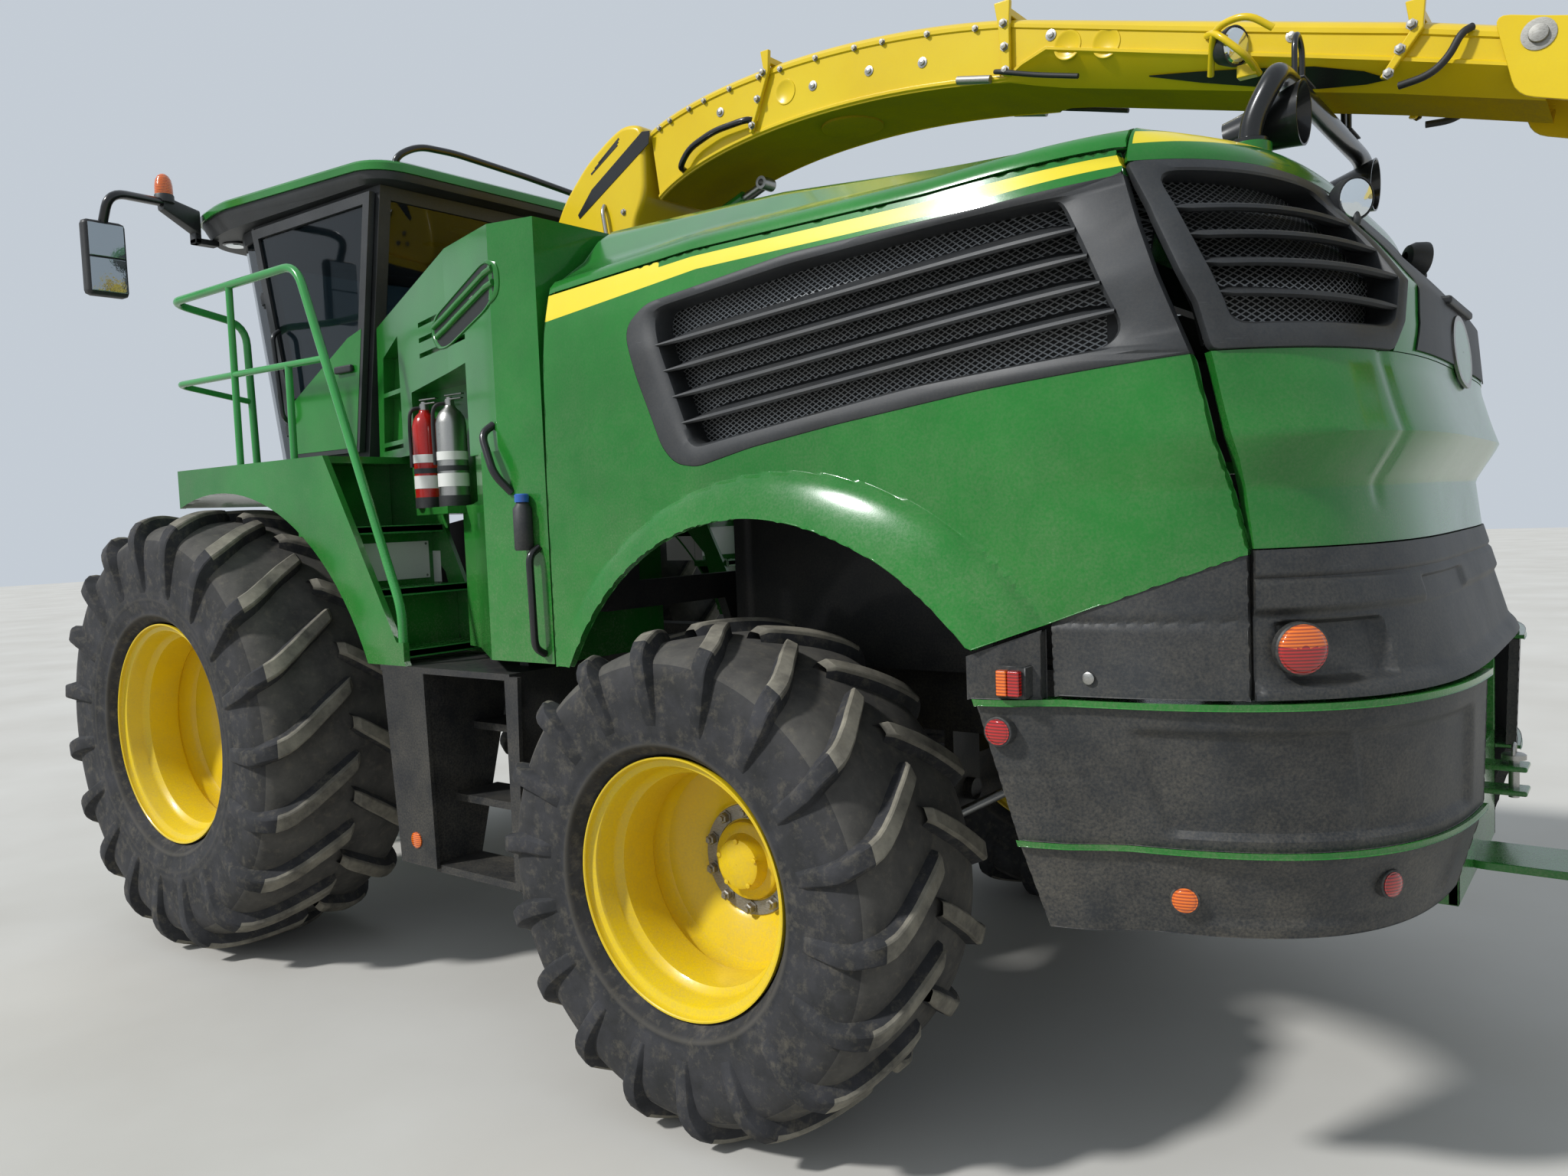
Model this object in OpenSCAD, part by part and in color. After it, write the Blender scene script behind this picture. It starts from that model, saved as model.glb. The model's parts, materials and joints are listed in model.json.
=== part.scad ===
// Self-propelled forage harvester, in millimetres.
// +X is forward, +Y is the left side, +Z is up, and Z = 0 is the ground.
// Stations along the machine are measured forward from the rear axle.

/* [Wheels and axles] */
// Distance between the two axles
wheelbase = 3165; // [3100:5:3230]
// Rear axle's place along the machine, which centres the whole length on X = 0
rear_axle_x = -655; // [-700:5:-600]
// Outer radius of a front tyre over its lugs
front_tyre_r = 1045; // [1020:5:1060]
// Section width of a front tyre
front_tyre_w = 780; // [740:5:800]
// Distance between the centres of the front tyres
front_track = 2610; // [2590:5:2640]
// Outer radius of a rear tyre over its lugs
rear_tyre_r = 812; // [800:4:828]
// Section width of a rear tyre
rear_tyre_w = 650; // [620:5:665]
// Distance between the centres of the rear tyres
rear_track = 2640; // [2620:5:2660]
// Radius of a front rim's flange
front_rim_r = 520; // [510:2:530]
// Radius of a rear rim's flange
rear_rim_r = 416; // [408:2:424]
// Height of a front tyre's lugs
front_lug_h = 56; // [46:2:60]
// Height of a rear tyre's lugs
rear_lug_h = 46; // [38:2:52]
// Lugs on one shoulder of a front tyre
front_lugs = 19; // [17:1:20]
// Lugs on one shoulder of a rear tyre
rear_lugs = 18; // [16:1:19]
// Distance of a steering kingpin in from the middle of its tyre
kingpin_in = 320; // [310:5:330]

/* [Body] */
// Thickness of the body panels
panel_t = 28; // [20:2:32]
// Station of the side panels' front edge
panel_front = 700; // [690:5:715]
// Station where the plan outline starts to round in towards the tail
curve_start = -520; // [-560:10:-480]
// Width of the gaps round the opening panels
panel_gap = 10; // [8:1:14]
// Height of the side panels' lower edge ahead of the wheel arch
panel_low = 1455; // [1450:5:1465]
// Station of the rear wheel arch's centre
arch_x = -210; // [-230:5:-190]
// Height of the rear wheel arch's centre
arch_z = 993; // [980:5:1000]
// Radius of the rear wheel arch
arch_r = 960; // [945:5:970]
// How far the arch lip stands out of a side panel
arch_flare = 70; // [50:5:80]
// Number of blades in a side grille
side_blades = 4; // [4:1:5]
// Number of blades in the tail grille
tail_blades = 4; // [3:1:5]

/* [Chassis] */
// Height of the chassis rails' top face
rail_top = 1400; // [1390:5:1410]
// Depth of a chassis rail
rail_h = 240; // [200:10:260]
// Width of a chassis rail
rail_w = 120; // [100:5:130]
// Distance of a rail's inner face from the centre line
rail_in = 420; // [400:5:430]

/* [Cab and platforms] */
// Height of the cab floor and the platforms
deck_z = 2290; // [2275:5:2300]
// Half width of the cab
cab_half = 900; // [880:5:910]
// Distance of a platform's outer edge from the centre line
deck_out = 1385; // [1370:5:1400]
// Height of the cab's roof line at the pillars
roof_z = 3560; // [3540:5:3580]
// Thickness of the cab glass
glass_t = 8; // [6:1:10]

/* [Spout] */
// Station of the spout turret's axis
turret_x = 1640; // [1620:5:1660]
// Radius of the turret's ring
turret_r = 300; // [290:5:310]
// Height of the fixed ring that carries the turret
turret_z = 3160; // [3140:5:3180]
// Half width of the spout's duct
spout_half = 225; // [215:5:235]
// Thickness of the spout's plates
spout_t = 8; // [6:1:10]

/* [Feed housing] */
// Station of the feed housing's pivot
feed_pivot_x = 3560; // [3550:5:3570]
// Height of the feed housing's pivot
feed_pivot_z = 1150; // [1140:5:1160]
// Length of the feed housing from its pivot to its front face
feed_len = 1000; // [960:10:1040]
// Half width of the feed housing inside its side plates
feed_half = 380; // [370:5:390]

/* [Hidden] */

kingpin_y = rear_track / 2 - kingpin_in;

$fn = 48;
paint_green = [0.18, 0.42, 0.15];
paint_yellow = [0.90, 0.75, 0.10];
plastic_black = [0.12, 0.12, 0.12];
steel_dark = [0.20, 0.20, 0.21];
steel_bare = [0.62, 0.62, 0.62];
rubber_black = [0.09, 0.09, 0.09];
glass_grey = [0.35, 0.42, 0.45, 0.5];

// Running gap between a round pin or shaft and its hole
pin_gap = 0.3;
// Gap between flat faces that slide on each other
slide_gap = 0.5;

front_x = wheelbase;
front_z = front_tyre_r;
rear_z = rear_tyre_r;

// Level cross-sections of the body, each as [height, half width, station of the rearmost point]
SECTIONS = [
    [830, 1290, -1975], [1060, 1350, -2040], [1455, 1415, -2050], [1505, 1415, -2030],
    [1830, 1415, -1935], [1985, 1415, -1915], [2110, 1415, -1985], [2290, 1410, -1935],
    [2515, 1405, -1915], [2650, 1390, -1810], [2765, 1362, -1705], [2830, 1342, -1665]
];
WIDTH_AT = [for (s = SECTIONS) [s[0], s[1]]];
REAR_AT = [for (s = SECTIONS) [s[0], s[2]]];

function mix(a, b, t) = a + (b - a) * t;
function half_width(z) = lookup(z, WIDTH_AT);
function rear_most(z) = lookup(z, REAR_AT);

// Half width of the body at station x and height z, d inside the outer skin.
// The plan outline is straight, then a fourth-power oval round the tail.
function body_y(x, z, d = 0) =
    let (b = half_width(z) - d, a = curve_start - rear_most(z) - d)
    x >= curve_start ? b : b * pow(max(0, 1 - pow((curve_start - x) / a, 4)), 1 / 4);

// Point of the same outline at a plan angle, where 0 is the left side and 90 the rearmost point
function tail_point(angle, z, d = 0) =
    let (b = half_width(z) - d, a = curve_start - rear_most(z) - d)
    [curve_start - a * sqrt(abs(sin(angle))), b * sign(cos(angle)) * sqrt(abs(cos(angle))), z];

// Everything is drawn from the rear axle and then moved to its place in the frame
module from_rear_axle() {
    translate([rear_axle_x, 0, 0]) children();
}

module both_sides() {
    children();
    mirror([0, 1, 0]) children();
}

// Closed shell between an outer and an inner grid of points.
// The first index runs to the right and the second upwards, seen from outside.
module grid_shell(outer, inner) {
    m = len(outer) - 1;
    n = len(outer[0]) - 1;
    back = (m + 1) * (n + 1);
    function at(i, j) = i * (n + 1) + j;
    function quad(a, b, c, d) = [[a, b, c], [a, c, d]];
    polyhedron(
        points = concat([for (column = outer) each column], [for (column = inner) each column]),
        faces = concat(
            [for (i = [0 : m - 1], j = [0 : n - 1])
                each quad(at(i, j), at(i, j + 1), at(i + 1, j + 1), at(i + 1, j))],
            [for (i = [0 : m - 1], j = [0 : n - 1])
                each quad(back + at(i, j), back + at(i + 1, j), back + at(i + 1, j + 1),
                          back + at(i, j + 1))],
            [for (i = [0 : m - 1])
                each quad(at(i, 0), at(i + 1, 0), back + at(i + 1, 0), back + at(i, 0))],
            [for (i = [0 : m - 1])
                each quad(at(i + 1, n), at(i, n), back + at(i, n), back + at(i + 1, n))],
            [for (j = [0 : n - 1])
                each quad(at(0, j + 1), at(0, j), back + at(0, j), back + at(0, j + 1))],
            [for (j = [0 : n - 1])
                each quad(at(m, j), at(m, j + 1), back + at(m, j + 1), back + at(m, j))]));
}

// Box given by its lowest and highest corner
module block(low, high) {
    translate(low) cube(high - low);
}

// Plate of a side-view outline, between two distances from the centre line
module side_plate(outline, y0, y1) {
    translate([0, y1, 0]) rotate([90, 0, 0]) linear_extrude(y1 - y0) polygon(outline);
}

// Round bar between two points
module bar(a, b, r) {
    v = b - a;
    length = norm(v);
    translate(a)
        rotate([0, acos(v[2] / length), atan2(v[1], v[0])])
            cylinder(r = r, h = length);
}

function unit(v) = v / norm(v);

// Bent tube through a list of points, as flat-sided bars that run into each other at the bends
module tube(points, r) {
    last = len(points) - 2;
    for (i = [0 : last]) {
        u = unit(points[i + 1] - points[i]) * r * 0.4;
        bar(points[i] - (i == 0 ? 0 : 1) * u, points[i + 1] + (i == last ? 0 : 1) * u, r, $fn = 12);
    }
}

function bezier(a, b, c, d, t) =
    a * pow(1 - t, 3) + 3 * b * t * pow(1 - t, 2) + 3 * c * t * t * (1 - t) + d * pow(t, 3);

/* Tyres and rims, drawn about the wheel's centre with the axle along Y */

tyre_wall = 40;

// Outline of a tyre's casing in [radius, sideways], from one bead over the crown to the other
function casing(crown_r, rim_r, w, inset) =
    let (mid_r = mix(rim_r, crown_r, 0.47), half_h = crown_r - mid_r - inset, half_w = w / 2 - inset)
    [for (a = [-52 : 16 : 232])
        [mid_r + half_h * sign(sin(a)) * sqrt(abs(sin(a))),
         half_w * sign(cos(a)) * sqrt(abs(cos(a)))]];

// One lug as a bent bar from near the centre line out over the shoulder.
// Rows are [sideways share of the width, radius drop, sweep behind the nose in degrees].
LUG_ROWS = [[0.01, 0, 0], [0.22, 4, 7.5], [0.42, 26, 14], [0.495, 130, 16]];

module lug(r, w, lug_h, top_w, base_w) {
    function ring(row) =
        let (y = row[0] * w, top_r = r - row[1], low_r = top_r - lug_h - 22,
             a = 0 - row[2],
             top_a = top_w / 2 / r * 180 / PI, base_a = base_w / 2 / r * 180 / PI)
        [for (p = [[low_r, a - base_a], [top_r, a - top_a], [top_r, a + top_a], [low_r, a + base_a]])
            [p[0] * sin(p[1]), y, p[0] * cos(p[1])]];
    rows = [for (row = LUG_ROWS) ring(row)];
    count = len(rows);
    function quad(a, b, c, d) = [[a, b, c], [a, c, d]];
    polyhedron(
        points = [for (row = rows) each row],
        faces = concat(
            [for (i = [0 : count - 2], k = [0 : 3])
                each quad(i * 4 + k, (i + 1) * 4 + k, (i + 1) * 4 + (k + 1) % 4, i * 4 + (k + 1) % 4)],
            quad(0, 1, 2, 3),
            quad(count * 4 - 1, count * 4 - 2, count * 4 - 3, count * 4 - 4)));
}

module tyre(r, w, rim_r, lug_h, lugs) {
    crown_r = r - lug_h;
    rotate([90, 0, 0])
        rotate_extrude($fn = 96)
            polygon(concat(
                casing(crown_r, rim_r, w, 0),
                [for (i = [len(casing(crown_r, rim_r, w, 0)) - 1 : -1 : 0])
                    casing(crown_r, rim_r, w, tyre_wall)[i]]));
    for (side = [0, 1], k = [0 : lugs - 1])
        mirror([0, side, 0])
            rotate([0, (k + side / 2) * 360 / lugs, 0])
                lug(r, w, lug_h, 62, 104);
}

// Half width of a rim between its flanges, and the depth of its disc inside the outer flange
function rim_half(w) = w * 0.43;

// A rim is a stepped barrel with a dished disc, a nut ring and a capped hub with a blind bore
module rim(rim_r, w, disc_y, bore_r, hub_r) {
    half = rim_half(w);
    skin = 12;
    // Barrel line as [sideways, radius], from the outer flange to the inner one
    line = [[half, rim_r], [half - 22, rim_r - 3], [half - 26, rim_r - 26], [half - 95, rim_r - 32],
            [half - 120, rim_r - 62], [half - 250, rim_r - 70], [half - 275, rim_r - 52],
            [-half + 95, rim_r - 32], [-half + 26, rim_r - 26], [-half + 22, rim_r - 3],
            [-half, rim_r]];
    rotate([90, 0, 0]) mirror([0, 0, 1]) {
        rotate_extrude($fn = 96)
            polygon(concat([for (p = line) [p[1], p[0]]],
                           [for (i = [len(line) - 1 : -1 : 0]) [line[i][1] - skin, line[i][0]]]));
        rotate_extrude($fn = 96)
            polygon([[hub_r - 5, disc_y - 10], [hub_r + 70, disc_y - 10], [rim_r - 54, disc_y + 55],
                     [rim_r - 54, disc_y + 71], [hub_r + 64, disc_y + 8], [hub_r - 5, disc_y + 8]]);
        difference() {
            translate([0, 0, disc_y - 110]) cylinder(r = hub_r, h = 150);
            translate([0, 0, disc_y - 111]) cylinder(r = bore_r + pin_gap, h = 111);
        }
        translate([0, 0, disc_y + 36]) cylinder(r1 = hub_r - 30, r2 = hub_r - 45, h = 49);
        for (k = [0 : 9])
            rotate([0, 0, k * 36]) translate([hub_r + 32, 0, disc_y + 4]) cylinder(r = 17, h = 30);
    }
}

spindle_r = 70;
rear_disc_out = 100;
front_disc_out = 60;

module front_wheel_place(side) {
    from_rear_axle() translate([front_x, side * front_track / 2, front_z])
        mirror([0, side < 0 ? 1 : 0, 0]) children();
}

module rear_wheel_place(side) {
    from_rear_axle() translate([0, side * rear_track / 2, rear_z])
        mirror([0, side < 0 ? 1 : 0, 0]) children();
}

module front_rim(side) {
    color(paint_yellow) front_wheel_place(side)
        rim(front_rim_r, front_tyre_w, -front_disc_out, spindle_r + 30, 170);
}

module rear_rim(side) {
    color(paint_yellow) rear_wheel_place(side)
        rim(rear_rim_r, rear_tyre_w, -rear_disc_out, spindle_r, 130);
}

module front_tyre(side) {
    color(rubber_black) front_wheel_place(side)
        tyre(front_tyre_r, front_tyre_w, front_rim_r, front_lug_h, front_lugs);
}

module rear_tyre(side) {
    color(rubber_black) rear_wheel_place(side)
        tyre(rear_tyre_r, rear_tyre_w, rear_rim_r, rear_lug_h, rear_lugs);
}

/* Chassis and axles */

rail_rear = -1780;
rail_front = 3480;
rail_out = rail_in + rail_w;
rail_low = rail_top - rail_h;
pivot_half = 120;
pivot_ear_t = 40;
rear_beam_half = 95;

module chassis_frame() {
    color(steel_dark) from_rear_axle() {
        both_sides() block([rail_rear, rail_in, rail_low], [rail_front, rail_out, rail_top]);
        for (x = [rail_rear, -900, 700, 1500])
            block([x, -rail_in, rail_low + 20], [x + 80, rail_in, rail_top - 20]);
        // Ears that carry the feed housing and its lift cylinders
        both_sides() {
            difference() {
                union() {
                    block([3400, 430, 1100], [feed_pivot_x, 470, rail_low + 60]);
                    translate([feed_pivot_x, 430, feed_pivot_z]) rotate([-90, 0, 0])
                        cylinder(r = 68, h = 40);
                }
                translate([feed_pivot_x, 429, feed_pivot_z]) rotate([-90, 0, 0])
                    cylinder(r = 30 + pin_gap, h = 42);
            }
            block([3350, rail_in, 900], [3450, rail_in + 20, rail_low + 60]);
            translate([lift_pin[0], rail_in, lift_pin[1]]) rotate([-90, 0, 0])
                cylinder(r = 20, h = rail_w - 15);
        }
        // Ears that carry the rear axle's rocking pin
        for (x = [-pivot_half - pivot_ear_t, pivot_half])
            difference() {
                union() {
                    block([x, -rail_in, rail_low + 20], [x + pivot_ear_t, rail_in, rail_top - 20]);
                    block([x, -110, rear_z - 90], [x + pivot_ear_t, 110, rail_low + 30]);
                }
                translate([x - 1, 0, rear_z]) rotate([0, 90, 0])
                    cylinder(r = 45 + pin_gap, h = pivot_ear_t + 2);
            }
    }
}

// End of a final drive, clear of the wheel's disc
drive_end = front_track / 2 - 195;

module front_axle() {
    color(steel_dark) from_rear_axle() translate([front_x, 0, front_z]) {
        block([-140, -560, -115], [140, 560, rail_low - front_z]);
        both_sides() rotate([-90, 0, 0]) {
            translate([0, 0, 550]) cylinder(r = 230, h = drive_end - 590);
            translate([0, 0, drive_end - 40]) cylinder(r1 = 230, r2 = 190, h = 40);
            translate([0, 0, drive_end - 10])
                cylinder(r = spindle_r + 30, h = front_track / 2 - front_disc_out - drive_end);
        }
    }
}

ear_gap = 2;
knuckle_h = 148;
ear_t = 40;

module rear_axle() {
    color(steel_dark) from_rear_axle() translate([0, 0, rear_z]) {
        block([-rear_beam_half, 140 - kingpin_y, -100], [rear_beam_half, kingpin_y - 140, 100]);
        block([-pivot_half + slide_gap, -110, -130], [pivot_half - slide_gap, 110, 150]);
        translate([-200, 0, 0]) rotate([0, 90, 0]) cylinder(r = 45, h = 400);
        both_sides() {
            block([-75, kingpin_y - 155, -knuckle_h - ear_gap - ear_t],
                  [75, kingpin_y - 125, knuckle_h + ear_gap + ear_t]);
            for (z = [-knuckle_h - ear_gap - ear_t, knuckle_h + ear_gap])
                difference() {
                    union() {
                        block([-75, kingpin_y - 130, z], [75, kingpin_y, z + ear_t]);
                        translate([0, kingpin_y, z]) cylinder(r = 75, h = ear_t);
                    }
                    translate([0, kingpin_y, z - 1]) cylinder(r = 38 + pin_gap, h = ear_t + 2);
                }
        }
    }
}

arm_reach = 240;

module knuckle(side) {
    color(steel_dark) from_rear_axle() mirror([0, side < 0 ? 1 : 0, 0])
        translate([0, kingpin_y, rear_z]) {
            translate([0, 0, -knuckle_h - ear_gap - ear_t - 15])
                cylinder(r = 38, h = 2 * (knuckle_h + ear_gap + ear_t + 15));
            block([-80, -70, -knuckle_h], [80, 70, knuckle_h]);
            rotate([-90, 0, 0])
                cylinder(r = spindle_r, h = rear_track / 2 - rear_disc_out - kingpin_y - 10);
            // Steering arm, whose underside slides on the tie rod's end
            block([-arm_reach, -60, -20], [-70, -10, 20]);
            translate([-arm_reach, -35, -20]) cylinder(r = 40, h = 40);
        }
}

module tie_rod() {
    color(steel_bare) from_rear_axle() translate([-arm_reach, 0, rear_z - 20 - slide_gap - 50]) {
        translate([0, -(kingpin_y - 65), 25]) rotate([-90, 0, 0])
            cylinder(r = 20, h = 2 * (kingpin_y - 65));
        both_sides() translate([0, kingpin_y - 35, 0]) cylinder(r = 36, h = 50);
    }
}

/* Engine, coolers and body frame */

bulk_front = [560, 600];
bulk_rear = [-1340, -1300];
bulk_top = 2600;
bulk_half = 1290;
core_half = [1150, 1270];
core_rear = -1150;

module engine() {
    color(steel_dark) from_rear_axle() block([-650, -700, rail_top], [450, 700, 2380]);
}

module cooling_cores() {
    color(plastic_black) from_rear_axle() both_sides()
        block([core_rear, core_half[0], 1950], [bulk_front[0], core_half[1], 2570]);
}

// Portal that stands on the rails and passes over the wheels' steering space
module bulkhead(x) {
    translate([x[0], 0, 0]) rotate([90, 0, 90]) linear_extrude(x[1] - x[0])
        difference() {
            polygon([[-rail_out, rail_top], [rail_out, rail_top], [640, 1640], [bulk_half, 1640],
                     [bulk_half, bulk_top], [-bulk_half, bulk_top], [-bulk_half, 1640],
                     [-640, 1640]]);
            polygon([[-360, rail_top - 1], [360, rail_top - 1], [460, 1740], [1120, 1740], [1120, 2500],
                     [-1120, 2500], [-1120, 1740], [-460, 1740]]);
        }
}

hinge_x = panel_front - 30;
hinge_y = half_width(1700) - 57;
hinge_r = 10;
hinge_z = [1700, 2480];
hinge_h = 40;
opening_gap = 45;

module body_bulkheads() {
    color(steel_dark) from_rear_axle() {
        bulkhead(bulk_front);
        bulkhead(bulk_rear);
        // Clevis brackets and pins that carry the side panels
        both_sides() for (z = hinge_z) {
            for (low = [z - hinge_h - 14, z + hinge_h + 2])
                translate([0, 0, low]) linear_extrude(12)
                    polygon([[bulk_front[1] - 10, 1180], [hinge_x - 5, hinge_y - 20],
                             [hinge_x + 10, hinge_y - 13], [hinge_x + 13, hinge_y],
                             [hinge_x + 8, hinge_y + 12], [hinge_x - 16, hinge_y + 12],
                             [bulk_front[1] - 10, bulk_half]]);
            translate([hinge_x, hinge_y, z - hinge_h - 14])
                cylinder(r = hinge_r, h = 2 * hinge_h + 28);
        }
    }
}

/* Body skins */

// Height of a side panel's top edge, just above the stripe
function panel_top(x) = lookup(x, [[-1360, 2852], [-800, 2815], [50, 2806], [700, 2757]]);
// Height of the hood's ridge line
function ridge_z(x) = lookup(x, [[-1350, 2940], [-1280, 2945], [-100, 3035], [700, 3045]]);
ridge_y = 1045;

// Half profile of the hood top at station x, as [sideways, height, share of the thickness in height]
function hood_half(x) =
    let (z0 = panel_top(x) + panel_gap, y0 = body_y(x, z0), zr = ridge_z(x))
    [[y0, z0, 0], [y0 - 30, z0 + 50, 0.6], [mix(y0, ridge_y, 0.75), mix(z0, zr, 0.72), 0.8],
     [ridge_y - 40, zr, 1], [ridge_y - 250, zr + 12, 1], [450, zr + 28, 1]];

function hood_profile(x, d) =
    let (half = hood_half(x), count = len(half))
    concat([for (p = half) [x, p[0] - d * (1.3 - p[2]) , p[1] - d * p[2]]],
           [for (i = [count - 1 : -1 : 0]) [x, -half[i][0] + d * (1.3 - half[i][2]),
                                            half[i][1] - d * half[i][2]]]);

HOOD_STATIONS = [panel_front, 350, -100, -520, -900, -1340];

module hood_top() {
    color(paint_green) from_rear_axle() {
        grid_shell([for (x = HOOD_STATIONS) hood_profile(x, 0)],
                   [for (x = HOOD_STATIONS) hood_profile(x, panel_t)]);
        // Legs that stand on the body frame
        for (x = [bulk_front, bulk_rear])
            both_sides() block([x[0], 850, bulk_top], [x[1], 900, ridge_z(x[0]) - 4]);
    }
}

arch_foot = arch_x + sqrt(pow(arch_r, 2) - pow(panel_low - arch_z, 2));
arch_end = -967;
arch_end_z = arch_z + sqrt(pow(arch_r, 2) - pow(arch_end - arch_x, 2));
sill_top_z = 1801;
sill_low = 1465;

// Side panel's lower edge: level ahead of the arch, round over the wheel, then rising to the tail
function panel_bottom(x) =
    x > arch_foot ? panel_low
    : x > arch_end ? arch_z + sqrt(pow(arch_r, 2) - pow(x - arch_x, 2))
    : mix(arch_end_z, sill_top_z, (arch_end - x) / (arch_end + 1560));

// The arch lip grows from nothing at the front foot to its full flare behind the wheel
function flare(x, z) =
    let (away = norm([x - arch_x, z - arch_z]) - arch_r,
         along = max(0, min(1, (arch_foot - x) / (arch_foot - arch_end))))
    arch_flare * pow(sin(90 * along), 1.2) * max(0, 1 - pow(max(away, 0) / 150, 1.5));

// Stations of a side panel's rear edge and of the tail's edge behind it, by height
PANEL_EDGE = [[1465, -1640], [1830, -1627], [2312, -1517], [2800, -1336], [2860, -1314]];
TAIL_EDGE = [[1465, -1656], [1830, -1645], [2050, -1619], [2312, -1563], [2437, -1530],
             [2690, -1412], [2800, -1352], [2860, -1332]];
function panel_rear(z) = lookup(z, PANEL_EDGE);
function tail_edge(z) = lookup(z, TAIL_EDGE);

// Panel columns as shares of the way from the front edge to the rear edge
PANEL_COLUMNS = [0, 0.03, 0.10, 0.18, 0.28, 0.38, 0.48, 0.58, 0.67, 0.73, 0.80, 0.87, 0.94, 1];
PANEL_ROWS = [0, 0.06, 0.12, 0.18, 0.305, 0.48, 0.7, 0.83, 0.95, 1];

function panel_point(f, g, d) =
    let (x0 = mix(panel_front, panel_rear(1900), f), x1 = mix(panel_front, panel_rear(2840), f),
         z = mix(panel_bottom(x0), panel_top(x1), g), x = mix(panel_front, panel_rear(z), f))
    [x, body_y(x, z, d) + flare(x, z), z];

// Black surround of the side grille and the opening in it, in side view
SURROUND = [[0, 2120], [90, 2135], [147, 2190], [257, 2435], [301, 2566], [288, 2612], [212, 2665],
            [-356, 2735], [-983, 2752], [-1277, 2778], [-1450, 2800], [-1700, 2806], [-1700, 2330],
            [-1517, 2312], [-995, 2267], [-530, 2212], [-218, 2167]];
GRILLE = [[20, 2190], [54, 2265], [161, 2524], [180, 2600], [165, 2640], [-362, 2698], [-756, 2720],
          [-1172, 2737], [-1195, 2727], [-1356, 2390], [-1319, 2345], [-763, 2299], [-218, 2222]];

module prism(outline) {
    side_plate(outline, 1000, 1600);
}

module side_skin(inset, thickness) {
    grid_shell([for (f = PANEL_COLUMNS) [for (g = PANEL_ROWS) panel_point(f, g, inset)]],
               [for (f = PANEL_COLUMNS) [for (g = PANEL_ROWS) panel_point(f, g, inset + thickness)]]);
}

module side_panel(side) {
    color(paint_green) from_rear_axle() mirror([0, side < 0 ? 1 : 0, 0]) {
        difference() {
            side_skin(0, panel_t);
            prism(SURROUND);
        }
        // Hinge knuckles on the inner face
        for (z = hinge_z)
            difference() {
                block([hinge_x - 40, hinge_y - 22, z - hinge_h],
                      [hinge_x + 22, half_width(z) - 12, z + hinge_h]);
                translate([hinge_x, hinge_y, z - hinge_h - 1])
                    cylinder(r = hinge_r + pin_gap, h = 2 * hinge_h + 2);
            }
    }
}

BLADE_STATIONS = [0, 0.3, 0.5, 0.65, 0.8, 0.9, 1];

// Point of louvre blade k at a share f of its length
function blade(f, k, d, up) =
    let (x = mix(99 + 35.7 * (k - 1), -1352 + 34.3 * (k - 1), f),
         z = mix(2260 + 86.3 * (k - 1), 2436 + 73 * (k - 1), f))
    [x, body_y(x, z, d), z + up];

sill_front = -1166;
SILL_SHARES = [0.80, 0.87, 0.94, 1];

// Point of the black sill that carries the side panel on down to the skirt
function sill(f, g, d) =
    let (low = panel_bottom(mix(panel_front, panel_rear(1900), f)), z = mix(sill_low, low, g),
         x = mix(panel_front, panel_rear(z), f))
    [x, body_y(x, z, d), z];

module side_grille(side) {
    inset = 6;
    color(plastic_black) from_rear_axle() mirror([0, side < 0 ? 1 : 0, 0]) {
        intersection() {
            side_skin(inset, panel_t - inset - 4);
            difference() {
                prism(SURROUND);
                prism(GRILLE);
            }
        }
        // Louvre blades, each between the grille's two sloping ends
        for (k = [1 : side_blades])
            grid_shell([for (f = BLADE_STATIONS) [blade(f, k, 10, -14), blade(f, k, 10, 0)]],
                       [for (f = BLADE_STATIONS) [blade(f, k, 52, 10), blade(f, k, 52, 24)]]);
        // Black sill below the green skin
        grid_shell([for (f = SILL_SHARES) [for (g = [0, 0.5, 1]) sill(f, g, 4)]],
                   [for (f = SILL_SHARES) [for (g = [0, 0.5, 1]) sill(f, g, panel_t)]]);
    }
}

/* Tail */

// Columns of the tail's skin from the left round to the right. 0 and 180 are its edges beside the
// side panels, the others are plan angles.
TAIL_COLUMNS = [0, 45, 57.5, 70, 80, 90, 100, 110, 122.5, 135, 180];
seam_x = -1350;
band_low = 1465;
green_low = 1830;
grille_low = 2318;
rim_top = 2822;
GRILLE_ROWS = [grille_low, 2400, 2515, 2600, 2650, 2765, rim_top];
post_turn = 3.5;

// Plan angle of the centre strip's left edge, which leans in towards the top
function strip_edge(z) = lookup(z, [[2318, 69], [2400, 73.5], [2515, 76], [2600, 77.7], [2822, 80]]);

// Plan angle of a column at a height. The codes below 0 follow the centre strip: its left edge, its
// right edge, and the grille's post from edge to edge beside it.
function column_angle(c, z) =
    c == -1 ? strip_edge(z)
    : c == -2 ? 180 - strip_edge(z)
    : c == -3 ? strip_edge(z) - post_turn
    : c == -4 ? strip_edge(z) - 0.03
    : c;

function tail_at(c, z, d = 0) =
    c == 0 || c == 180 ? [tail_edge(z), body_y(tail_edge(z), z, d) * (c == 0 ? 1 : -1), z]
    : tail_point(column_angle(c, z), z, d);

module tail_skin(columns, heights, inset, thickness) {
    grid_shell([for (c = columns) [for (z = heights) tail_at(c, z, inset)]],
               [for (c = columns) [for (z = heights) tail_at(c, z, inset + thickness)]]);
}

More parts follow.
